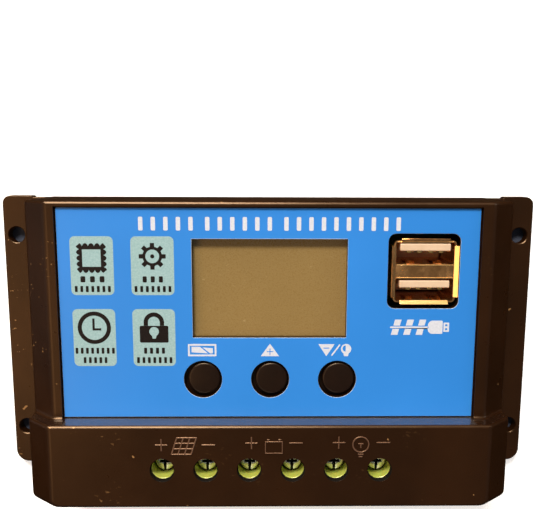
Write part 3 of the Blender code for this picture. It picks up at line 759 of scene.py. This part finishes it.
def cross(x, y, reach, width):
    """Outline of a plus sign."""
    h = width / 2
    quarter = ((reach, -h), (reach, h), (h, h))
    points = []
    for turn in range(4):
        c, s = ((1, 0), (0, 1), (-1, 0), (0, -1))[turn]
        points += [(x + px * c - py * s, y + px * s + py * c) for px, py in quarter]
    return points


CARD_SIZE = (9.35, 12.9)
CARD_X = (-38.75, -25.65)
CARD_Y = (21.0, 4.98)
TITLE_Y = 30.2
TITLE_X = (-22.65, -6.9, 15.6)
TITLE_BLOCKS = (5, 6, 10)
ICON_Y = 2.15


def card_outlines():
    """Four cards to the left of the display."""
    half = (CARD_SIZE[0] / 2, CARD_SIZE[1] / 2)
    return [rounded((x - half[0], x + half[0]), (y - half[1], y + half[1]), 1.1)
            for y in CARD_Y for x in CARD_X]


def chip_icon(x, y):
    """Square chip with five round lobes along each side and a clear middle."""
    half = 2.6
    steps = 40
    outline = []
    for side in range(4):
        c, s = ((1, 0), (0, 1), (-1, 0), (0, -1))[side]
        for k in range(steps):
            along = 2 * half * k / steps - half
            out = half + 0.65 * abs(math.cos(4 * math.pi * k / steps)) ** 0.7
            outline.append((x + out * c - along * s, y + out * s + along * c))
    return [outline, rounded((x - 2.0, x + 2.0), (y - 1.9, y + 1.9), 0.1)]


def gear_icon(x, y):
    """Gear of eight teeth round a ring and a dot."""
    outline = []
    teeth = 8
    for k in range(teeth):
        middle = 360.0 * k / teeth
        for offset, radius in ((-13.0, 2.15), (-9.0, 2.95), (9.0, 2.95), (13.0, 2.15)):
            angle = math.radians(middle + offset)
            outline.append((x + radius * math.cos(angle), y + radius * math.sin(angle)))
    return [outline, circle(x, y, 1.5), circle(x, y, 0.45)]


def clock_icon(x, y):
    """Ring with two hands."""
    hands = [(x - 0.4, y + 2.1), (x - 0.4, y - 0.6), (x + 1.5, y - 0.6), (x + 1.5, y - 0.1),
             (x + 0.1, y - 0.1), (x + 0.1, y + 2.1)]
    return [circle(x, y, 3.65, 64), circle(x, y, 2.74, 64), hands]


def lock_icon(x, y):
    """Padlock with a keyhole."""
    body = rounded((x - 3.15, x + 3.15), (y - 3.2, y + 0.6), 0.3)
    shackle = circle(x, y + 1.35, 2.25, 24, 0.0, 180.0) + [(x - 2.25, y + 0.62), (x - 1.3, y + 0.62)]
    shackle += circle(x, y + 1.35, 1.3, 24, 180.0, -180.0) + [(x + 1.3, y + 0.62), (x + 2.25, y + 0.62)]
    keyhole = circle(x, y - 0.7, 1.05, 24, -60.0, 300.0) + [(x - 0.35, y - 2.3), (x + 0.35, y - 2.3)]
    return [body, shackle, keyhole]


def dashes(x, y, widths, height, gap):
    """Row of bars where the object has a line of print."""
    total = sum(widths) + gap * (len(widths) - 1)
    loops = []
    left = x - total / 2
    for width in widths:
        corner = 0.25 * min(width, height)
        loops.append(rounded((left, left + width), (y - height / 2, y + height / 2), corner, 3))
        left += width + gap
    return loops


def page_icon(x, y):
    """Frame with two wedges that meet across its diagonal."""
    frame_out = rounded((x - 3.15, x + 3.15), (y - 1.4, y + 1.4), 0.15)
    frame_in = rounded((x - 2.75, x + 2.75), (y - 1.0, y + 1.0), 0.05)
    left = [(x - 2.35, y + 0.75), (x - 0.5, y + 0.75), (x + 1.3, y - 0.75), (x - 2.35, y - 0.5)]
    right = [(x + 2.35, y - 0.75), (x + 1.75, y - 0.75), (x + 0.1, y + 0.6), (x + 2.35, y + 0.45)]
    return [frame_out, frame_in, left, right]


def up_icon(x, y):
    """Upright triangle with a plus."""
    return [[(x - 2.05, y - 1.4), (x + 2.05, y - 1.4), (x, y + 1.45)], cross(x, y - 0.35, 0.72, 0.2)]


def down_icon(x, y):
    """Hanging triangle with a minus, a slash and a lamp."""
    left = x - 1.75
    triangle = [(left - 1.8, y + 1.35), (left, y - 1.4), (left + 1.8, y + 1.35)]
    minus = bar(left, y + 0.45, 1.35, 0.22, 0.0, False)
    slash = bar(x + 0.35, y, 3.1, 0.32, 54.0, False)
    lamp = circle(x + 2.65, y + 0.25, 1.15, 30, -60.0, 300.0) + [(x + 2.2, y - 1.4), (x + 3.1, y - 1.4)]
    window = circle(x + 2.55, y + 0.35, 0.7, 16, 90.0, 180.0)
    return [triangle, minus, slash, lamp, window]


def slanted(x, y, width, height, lean=0.25):
    """Outline of a block that leans to the right."""
    shift = lean * height / 2
    return [(x - shift, y - height / 2), (x + width - shift, y - height / 2),
            (x + width + shift, y + height / 2), (x + shift, y + height / 2)]


def plug_icon(x, y):
    """Broad striped lead, grip and metal end of a plug; x is the left end of the lead."""
    loops = [bar(x + 4.0, y, 8.6, 0.36)]
    for k in range(3):
        left = x + 0.35 + 2.75 * k
        loops.append(slanted(left + 0.25, y + 1.05, 1.45, 1.35))
        loops.append(slanted(left - 0.25, y - 1.05, 1.45, 1.35))
    loops.append(rounded((x + 8.1, x + 11.4), (y - 1.5, y + 1.5), (0.25, 1.1, 1.1, 0.25)))
    loops.append(rounded((x + 11.6, x + 12.85), (y - 1.05, y + 1.05), 0.15))
    for side in (-0.45, 0.45):
        loops.append(rounded((x + 11.95, x + 12.45), (y + side - 0.22, y + side + 0.22), 0.05))
    return loops


def make_print():
    """Every printed mark: white on the blue, teal cards, and dark icons on the cards."""
    white = []
    for x, count in zip(TITLE_X, TITLE_BLOCKS):
        white += dashes(x, TITLE_Y, (0.95,) * count, 2.95, 1.75)
    white += page_icon(HOLE_X[0] - 0.1, ICON_Y)
    white += up_icon(HOLE_X[1] - 0.05, ICON_Y)
    white += down_icon(HOLE_X[2] - 0.75, ICON_Y)
    white += plug_icon(USB_CUT_AT[0] - 6.75, 7.35)
    marks = flat_ink(white, INK - 0.01, INK + 0.02)
    place(marks, "print_white", "case", "panel_film", WHITE_INK)
    cards = flat_ink(card_outlines(), INK - 0.01, INK + 0.02)
    place(cards, "print_cards", "case", "panel_film", TEAL_INK)
    up = 2.1
    dark = chip_icon(CARD_X[0] - 0.05, CARD_Y[0] + up - 0.4) + gear_icon(CARD_X[1], CARD_Y[0] + up)
    dark += clock_icon(CARD_X[0], CARD_Y[1] + up + 0.15) + lock_icon(CARD_X[1], CARD_Y[1] + up)
    captions = (((3, 5.2), (7, 7.8)), ((3, 4.4), (7, 8.0)), ((8, 8.6), (5, 5.2)), ((4, 4.6), (7, 7.8)))
    places = [(x, y) for y in CARD_Y for x in CARD_X]
    for (x, y), lines in zip(places, captions):
        for (count, total), drop in zip(lines, (2.95, 5.1)):
            half_pitch = total / (2 * count - 1)
            dark += dashes(x, y - drop, (half_pitch,) * count, 1.35, half_pitch)
    icons = flat_ink(dark, INK + 0.01, INK + 0.035)
    place(icons, "print_icons", "case", "panel_film", DARK_INK)


# -------------------------------------------------------- display and buttons


def make_display():
    """Two glass panes and the front polariser."""
    low, high = GLASS_LOW, GLASS_HIGH
    middle = (low.z + high.z) / 2
    rear = box((low.x, high.x), (low.y, high.y), (low.z, middle - 0.02))
    front = box((low.x, high.x), (low.y + 1.6, high.y), (middle + 0.02, high.z - 0.22))
    panes = joined([round_edges(rear, 0.06, 2), round_edges(front, 0.06, 2)])
    place(panes, "display_panes", "case", "display_glass", PANE, replaces=("lcd_glass",))
    outline = rounded((low.x + 0.6, high.x - 0.6), (low.y + 2.2, high.y - 0.6), 0.3)
    film = prism(outline, (high.z - 0.21, high.z))
    round_edges(film, 0.03, 2)
    place(film, "display_face", "case", "display_glass", DISPLAY)


def make_button(index, middle):
    """Cap with a rounded, slightly domed crown, a retaining flange and a socket underneath."""
    low, high = span(f"button_cap_{index}")
    flange_r = (high.x - low.x) / 2
    flange_top = low.z + 1.1
    radius = 3.65
    crown = 0.55
    dome = 0.12
    socket_r = 2.05
    edge = 0.1
    profile = [(0, flange_top + edge), (socket_r, flange_top + edge), (socket_r, low.z + edge),
               (socket_r + edge, low.z), (flange_r - edge, low.z), (flange_r, low.z + edge),
               (flange_r, flange_top - edge), (flange_r - edge, flange_top), (radius, flange_top)]
    flat_r = radius - crown
    profile += circle(flat_r, high.z - dome - crown, crown, 8, 0.0, 90.0)
    for step in range(1, 6):
        r = flat_r * (1 - step / 6)
        profile.append((r, high.z - dome * (r / flat_r) ** 2))
    profile.append((0, high.z))
    cap = turned(profile, middle, 72)
    place(cap, f"button_top_{index}", f"button_{index}", "button", BUTTON,
          replaces=(f"button_cap_{index}",), sharp=40.0)


# ----------------------------------------------------------------- USB socket


def port_spans():
    """Low and high Y of the upper and the lower port."""
    return ((USB.y + 1.55, USB.y + 6.6), (USB.y - 6.6, USB.y - 1.55))


def make_socket_shell():
    """Folded sheet shell: two ports, a rounded bridge between them and four flared lips."""
    low, high = USB_LOW, USB_HIGH
    wall = 6.85
    rim = high.z - LIP_RISE
    shell = prism(rounded((USB.x - wall, USB.x + wall), (USB.y - wall, USB.y + wall), 0.9), (low.z, rim))
    half = 6.45
    floor = low.z + 5.0
    for port in port_spans():
        opening = rounded((USB.x - half, USB.x + half), port, 0.5)
        combine(shell, prism(opening, (floor - 0.5, rim + 1)))
    combine(shell, box((USB.x - half, USB.x + half), (USB.y - 6.6, USB.y + 6.6), (low.z - 1, floor)))
    round_edges(shell, 0.16, 4, 40.0)
    parts = [shell]
    for y_low, _ in port_spans():
        for x in (-3.0, 3.0):
            parts.append(spring_finger(USB.x + x, y_low, rim))
    reach_x = USB_HIGH.x - USB.x
    reach_y = USB_HIGH.y - USB.y
    parts += [lip(10.6, reach_y, 90.0), lip(11.4, reach_x, 180.0)]
    place(joined(parts), "socket_shell", "case", "plated_steel", SHEET, replaces=("usb_shell",))
    # Right and lower lips and the rolled edges take the brighter metal (painted highlight); upper and left
    # lips stay with the shell.
    lips = [lip(10.6, reach_y, -90.0), lip(11.4, reach_x, 0.0), rolled_edges(rim)]
    place(joined(lips), "socket_lips", "case", "plated_steel", LIP_HIGHLIGHT_METAL)


def rolled_edges(rim):
    """Rolled sheet edges along the bridge between the ports and along the upper and left walls."""
    radius = 0.13
    across = 6.2
    up = 6.5
    lines = []
    for y in (-1.42, 1.42, up):
        lines.append(([(USB.x - across, USB.y + y), (USB.x + across, USB.y + y)], False))
    lines.append(([(USB.x - up - 0.15, USB.y - across), (USB.x - up - 0.15, USB.y + across)], False))
    return ridges(lines, radius, rim + 0.06)


def skin_between(near, far):
    """Mesh of a closed skin between two loops that have the same number of points."""
    bm = bmesh.new()
    rings = [[bm.verts.new(point) for point in loop] for loop in (near, far)]
    for k in range(len(near)):
        n = (k + 1) % len(near)
        bm.faces.new([rings[0][k], rings[0][n], rings[1][n], rings[1][k]])
    bm.faces.new(rings[0])
    bm.faces.new(rings[1])
    return bm


def lip(length, reach, turn):
    """Flared lip along one side of the mouth; reach is its outer edge from the socket's middle."""
    tip = USB_HIGH.z
    rim = tip - LIP_RISE
    inner = 6.4
    profile = [(inner, rim - 0.3), (reach, tip - 0.25), (reach, tip - 0.05), (reach - 0.05, tip),
               (inner, rim + 0.04)]
    bm = skin_between(*([(r, y, z) for r, z in profile] for y in (-length / 2, length / 2)))
    turning = Matrix.Rotation(math.radians(turn), 3, "Z")
    bmesh.ops.rotate(bm, cent=(0, 0, 0), matrix=turning, verts=bm.verts)
    bmesh.ops.translate(bm, vec=(USB.x, USB.y, 0), verts=bm.verts)
    return round_edges(from_bmesh(bm), 0.06, 2, 40.0)


def spring_finger(x, wall_y, rim):
    """Contact spring bent out of a port's lower wall."""
    path = [(0.02, rim - 9.0), (0.55, rim - 4.0), (0.75, rim - 3.0), (0.55, rim - 2.0), (0.15, rim - 1.0)]
    thick = 0.25
    outline = [(y + wall_y, z) for y, z in path] + [(y + wall_y - thick, z) for y, z in reversed(path)]
    return from_bmesh(skin_between(*([(x + side, y, z) for y, z in outline] for side in (-0.9, 0.9))))


def make_socket_core():
    """Insulator: base and two tongues with chamfered ends, and four contacts on each tongue."""
    low, high = CORE_LOW, CORE_HIGH
    base = box((low.x, high.x), (low.y, high.y), (low.z, low.z + 4.7))
    half = 5.55
    contacts = []
    for top in (USB.y + 6.15, USB.y + 6.15 - 8.15):
        y = (top - 1.6, top)
        tongue = box((USB.x - half, USB.x + half), y, (low.z + 4.0, high.z))
        round_edges(tongue, 0.22, 3, 40.0)
        combine(base, tongue, "UNION")
        for x in (-3.5, -1.25, 1.25, 3.5):
            strip = box((USB.x + x - 0.5, USB.x + x + 0.5), (y[0] - 0.48, y[0] + 0.1),
                        (low.z + 5.2, high.z - 0.4))
            contacts.append(round_edges(strip, 0.12, 2, 40.0))
    place(base, "socket_core", "case", "socket_plastic", SOCKET, replaces=("usb_insulator",))
    place(joined(contacts), "socket_contacts", "case", "brass", GOLD)


# ------------------------------------------------------------------ terminals


def make_terminal():
    """Terminal housing: screw wells, cage rooms, flared wire entries and parting grooves."""
    low, high = BLOCK_LOW, BLOCK_HIGH
    block = box((low.x, high.x), (SHOULDER_Y, high.y), (low.z, high.z))
    half = BLOCK_HALF - NOSE_INSET
    combine(block, box((ROW_X - half, ROW_X + half), (low.y, SHOULDER_Y + 1), NOSE_Z), "UNION")
    round_edges(block, 0.25, 3, 40.0)
    for k in range(1, 6):
        x = (POLES[k - 1].x + POLES[k].x) / 2
        combine(block, box((x - 0.3, x + 0.3), (low.y - 1, low.y + 0.7), (low.z - 1, high.z + 1)))
    room_z = (12.2, 25.9)
    well = ((0, 26.7), (WELL_R, 26.7), (WELL_R, high.z - 0.15), (WELL_R + 0.15, high.z),
            (WELL_R + 0.15, high.z + 1), (0, high.z + 1))
    for index, pole in enumerate(POLES, start=1):
        cage_low, cage_high = span(f"clamp_cage_{index}")
        room_y = (cage_low.y - 0.3, cage_high.y + 0.3)
        combine(block, box((cage_low.x - 0.3, cage_high.x + 0.3), room_y, room_z))
        combine(block, turned(well, pole))
        combine(block, cylinder(pole, 2.05, (25.0, 27.5), 32))
        combine(block, wire_entry(pole.x, low.y, room_y[0] + 0.5))
        bar_low, bar_high = span(f"terminal_bar_{index}")
        combine(block, box((bar_low.x - 0.3, bar_high.x + 0.3), (room_y[1] - 0.5, high.y + 1), (18.1, 19.7)))
    place(block, "terminal_housing", "case", "terminal_plastic", TERMINAL, replaces=("terminal_block",))


def wire_entry(x, front, back):
    """Cutter for a square wire entry with a flared mouth."""
    half, flare, level = 3.1, 0.45, (13.3, 18.7)
    sections = []
    for y, grow in ((front - 1, flare), (front, flare), (front + flare, 0.0), (back, 0.0)):
        wide = half + grow
        bottom, top = level[0] - grow, level[1] + grow
        sections.append([(x - wide, y, bottom), (x + wide, y, bottom),
                         (x + wide, y, top), (x - wide, y, top)])
    return lofted(sections)


def threaded(middle, radius, pitch, z_low, z_high, segments=36):
    """Screw thread as one closed skin, its depth fading out at both ends."""
    depth = 0.55 * pitch
    step = pitch / 6
    rows = int(round((z_high - z_low) / step))
    bm = bmesh.new()
    rings = []
    for row in range(rows + 1):
        z = z_low + (z_high - z_low) * row / rows
        fade = min(1.0, (z - z_low) / pitch, (z_high - z) / pitch)
        ring = []
        for k in range(segments):
            turn = k / segments
            phase = (z / pitch - turn) % 1.0
            r = radius - depth * fade * abs(2 * phase - 1)
            angle = 2 * math.pi * turn
            ring.append(bm.verts.new((middle[0] + r * math.cos(angle), middle[1] + r * math.sin(angle), z)))
        rings.append(ring)
    for below, above in zip(rings, rings[1:]):
        for k in range(segments):
            n = (k + 1) % segments
            bm.faces.new([below[k], below[n], above[n], above[k]])
    bm.faces.new(rings[0])
    bm.faces.new(rings[-1])
    return from_bmesh(bm)


def recess(middle, z_top, depth, reach, direction):
    """Cross recess cutter that narrows with depth; direction is +1 for a head that faces up."""
    cutters = []
    for swap in (False, True):
        rings = []
        for share, z in ((1.0, z_top + 0.3 * direction), (1.0, z_top), (0.55, z_top - depth * direction)):
            long_half = reach * share
            short_half = 0.34 * share
            hx, hy = (short_half, long_half) if swap else (long_half, short_half)
            rings.append([(middle[0] + sx * hx, middle[1] + sy * hy, z)
                          for sx, sy in ((-1, -1), (1, -1), (1, 1), (-1, 1))])
        cutters.append(lofted(rings))
    return cutters


def make_clamp_screw(index, pole):
    """Terminal screw: rounded head with a cross recess and a slot, and a threaded shank."""
    low, high = span(f"terminal_screw_{index}")
    radius = (high.x - low.x) / 2
    under = high.z - 2.6
    profile = [(0, under), (radius, under)]
    corner = 0.5
    profile += circle(radius - corner, high.z - 0.1 - corner, corner, 6, 0.0, 90.0)
    profile += [(radius * 0.4, high.z - 0.02), (0, high.z)]
    head = turned(profile, pole, 56)
    for cutter in recess(pole, high.z, 1.2, 1.25, 1):
        combine(head, cutter)
    combine(head, box((pole.x - 0.28, pole.x + 0.28), (pole.y - 3, pole.y + 3), (high.z - 0.55, high.z + 1)))
    round_edges(head, 0.05, 2, 40.0)
    shank = threaded(pole, 1.75, 0.6, low.z, under + 0.1)
    screw = place(joined([head, shank]), f"clamp_screw_{index}", f"clamp_screw_{index}", "screw_steel",
                  STEEL, SCREW_SHADE, replaces=(f"terminal_screw_{index}",))
    paint_screw(screw, pole, radius, under, high)


def paint_screw(screw, pole, radius, under, high):
    """Painted shade in a clamp screw's cross and slot and round its rim, by a dark material."""
    for face in screw.data.polygons:
        middle = face.center / MM
        reach = math.hypot(middle.x - pole.x, middle.y - pole.y)
        in_recess = reach < 1.4 and middle.z < high.z - 0.1
        in_slot = abs(middle.x - pole.x) < 0.3 and middle.z < high.z - 0.1
        # Faces in the cross, the slot and round the rim get the painted shade.
        if middle.z > under and (in_recess or in_slot or reach > radius - 0.3):
            face.material_index = 1


def make_cage(index, pole):
    """Rising clamp: folded strip round the wire, with a bored roof."""
    low, high = span(f"clamp_cage_{index}")
    cage = box((low.x, high.x), (low.y, high.y), (low.z, high.z))
    round_edges(cage, 0.35, 4, 40.0)
    combine(cage, box((low.x + 0.75, high.x - 0.75), (low.y - 2, high.y + 2), (low.z + 1.0, high.z - 1.4)))
    combine(cage, cylinder(pole, 2.05, (high.z - 2, high.z + 1), 32))
    round_edges(cage, 0.1, 2, 40.0)
    place(cage, f"cage_{index}", f"clamp_cage_{index}", "brass", BRASS, replaces=(f"clamp_cage_{index}",))


def make_bar(index, pole):
    """Contact bar with serrations under it, bent down to the board behind the housing."""
    low, high = span(f"terminal_bar_{index}")
    thick = 1.0
    flat = box((low.x, high.x), (low.y, high.y), (high.z - thick, high.z))
    for k in range(4):
        y = low.y + 1.2 + 1.2 * k
        combine(flat, box((low.x - 1, high.x + 1), (y - 0.15, y + 0.15),
                          (high.z - thick - 1, high.z - thick + 0.18)))
    combine(flat, box((low.x, high.x), (high.y - thick, high.y), (11.3, high.z - 0.5)), "UNION")
    combine(flat, box((pole.x - 1, pole.x + 1), (high.y - thick, high.y), (low.z, 11.9)), "UNION")
    round_edges(flat, 0.08, 2, 40.0)
    place(flat, f"bar_{index}", "case", "copper", COPPER, replaces=(f"terminal_bar_{index}",))


def make_case_screw(index, middle):
    """Case screw from behind: pan head with a cross recess, and a coarse thread."""
    low, high = span(f"case_screw_{index}")
    radius = (high.x - low.x) / 2
    profile = [(0, low.z), (radius * 0.5, low.z + 0.03)]
    corner = 0.6
    profile += circle(radius - corner, low.z + 0.1 + corner, corner, 6, -90.0, 90.0)
    profile += [(radius, 1.9), (0, 1.9)]
    head = turned(profile, middle, 48)
    for cutter in recess(middle, low.z, 1.1, 1.6, -1):
        combine(head, cutter)
    round_edges(head, 0.05, 2, 40.0)
    shank = threaded(middle, 1.5, 1.1, 1.8, high.z, 28)
    place(joined([head, shank]), f"rear_screw_{index}", "case", "screw_steel", STEEL,
          replaces=(f"case_screw_{index}",))


def dress_inside():
    """Materials for the CAD pieces that stay inside the case."""
    looks = {"main_board": BOARD, "lcd_holder": WHITE, "lcd_backlight": WHITE, "lcd_ribbon": RIBBON,
             "usb_choke": FERRITE, "shunt_resistor": COPPER, "capacitor": SLEEVE, "switch_base": SHEET,
             "switch_plunger": CHIP, "mosfet": CHIP, "controller_chip": CHIP, "usb_regulator": CHIP,
             "board_screw": STEEL}
    for name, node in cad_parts.items():
        stem = name.rstrip("0123456789").rstrip("_")
        material = looks.get(stem)
        if material is None:
            continue
        node.data.materials.clear()
        node.data.materials.append(material)


# ------------------------------------------------------------- room and camera


def make_room():
    """Pale floor and soft lights; the two sheens only show in reflections."""
    bm = bmesh.new()
    bmesh.ops.create_grid(bm, x_segments=8, y_segments=8, size=1.5)
    mesh = bpy.data.meshes.new("floor")
    bm.to_mesh(mesh)
    bm.free()
    floor = bpy.data.objects.new("floor", mesh)
    floor.location.z = -0.0002
    floor.visible_glossy = False
    bpy.context.collection.objects.link(floor)
    mesh.materials.append(floor_paper())

    add_light("key", (-0.13, 0.66, 0.69), 0.19, 9.2, (1.0, 0.93, 0.84))
    add_light("glow", (-0.32, -0.10, 0.44), 0.27, 0.65, (1.0, 0.66, 0.36))
    add_light("cool side", (0.55, 0.30, 0.22), 0.30, 0.9, (0.86, 0.93, 1.0))
    add_light("rear", (-0.05, 0.45, 0.16), 0.60, 1.5, (1.0, 0.80, 0.58))
    sheen = add_light("edge sheen", (-0.16, 0.42, 0.19), 0.36, 12.0, (1.0, 0.86, 0.70))
    side = add_light("side sheen", (-0.55, 0.05, 0.10), 0.40, 0.16, (0.90, 0.95, 1.0))
    for light in (sheen, side):
        light.visible_diffuse = False


def make_surround():
    """Surround that lights the part, darker below; the camera sees a pale backdrop instead."""
    world = bpy.data.worlds.new("surround")
    world.use_nodes = True
    tree = world.node_tree
    up = tree.nodes.new("ShaderNodeSeparateXYZ")
    tree.links.new(tree.nodes.new("ShaderNodeTexCoord").outputs["Generated"], up.inputs["Vector"])
    sky = tree.nodes.new("ShaderNodeValToRGB")
    sky.color_ramp.elements[0].position = 0.0
    sky.color_ramp.elements[0].color = (0.060, 0.034, 0.018, 1)
    sky.color_ramp.elements[1].position = 0.45
    sky.color_ramp.elements[1].color = (0.92, 0.95, 1.0, 1)
    tree.links.new(up.outputs["Z"], sky.inputs["Fac"])
    surround = tree.nodes["Background"]
    tree.links.new(sky.outputs["Color"], surround.inputs["Color"])
    surround.inputs["Strength"].default_value = 0.21
    backdrop = tree.nodes.new("ShaderNodeBackground")
    backdrop.inputs["Color"].default_value = (0.93, 0.93, 0.93, 1)
    seen = tree.nodes.new("ShaderNodeMixShader")
    tree.links.new(tree.nodes.new("ShaderNodeLightPath").outputs["Is Camera Ray"], seen.inputs["Fac"])
    tree.links.new(surround.outputs["Background"], seen.inputs[1])
    tree.links.new(backdrop.outputs["Background"], seen.inputs[2])
    tree.links.new(seen.outputs["Shader"], tree.nodes["World Output"].inputs["Surface"])
    bpy.context.scene.world = world


def add_light(name, place_at, size, power, colour):
    """Square soft light aimed at the middle of the part."""
    data = bpy.data.lights.new(name, "AREA")
    data.size = size
    data.energy = power
    data.color = colour
    light = bpy.data.objects.new(name, data)
    light.location = place_at
    light.visible_camera = False
    aim = Vector((0, 0, 0.015)) - Vector(place_at)
    light.rotation_euler = aim.to_track_quat("-Z", "Y").to_euler()
    bpy.context.collection.objects.link(light)
    return light


def make_camera():
    """Camera nearly square to the face, from above its top edge."""
    data = bpy.data.cameras.new("camera")
    data.sensor_width = 36.0
    data.lens = 46.86
    data.shift_y = 0.0555
    data.clip_start = 0.001
    camera = bpy.data.objects.new("camera", data)
    camera.location = (-0.00156, 0.0427, 0.1838)
    camera.rotation_euler = (-0.1659, -0.0160, 0.0037)
    bpy.context.collection.objects.link(camera)
    bpy.context.scene.camera = camera


make_camera()
make_room()
make_surround()
bpy.context.scene.view_settings.view_transform = "Standard"
make_cover()
make_back()
make_signs()
make_film()
make_print()
make_display()
for number, cap in enumerate(BUTTONS, start=1):
    make_button(number, cap)
make_socket_shell()
make_socket_core()
make_terminal()
for number, pole_middle in enumerate(POLES, start=1):
    make_clamp_screw(number, pole_middle)
    make_cage(number, pole_middle)
    make_bar(number, pole_middle)
for number, screw_middle in enumerate(CASE_SCREWS, start=1):
    make_case_screw(number, screw_middle)
dress_inside()
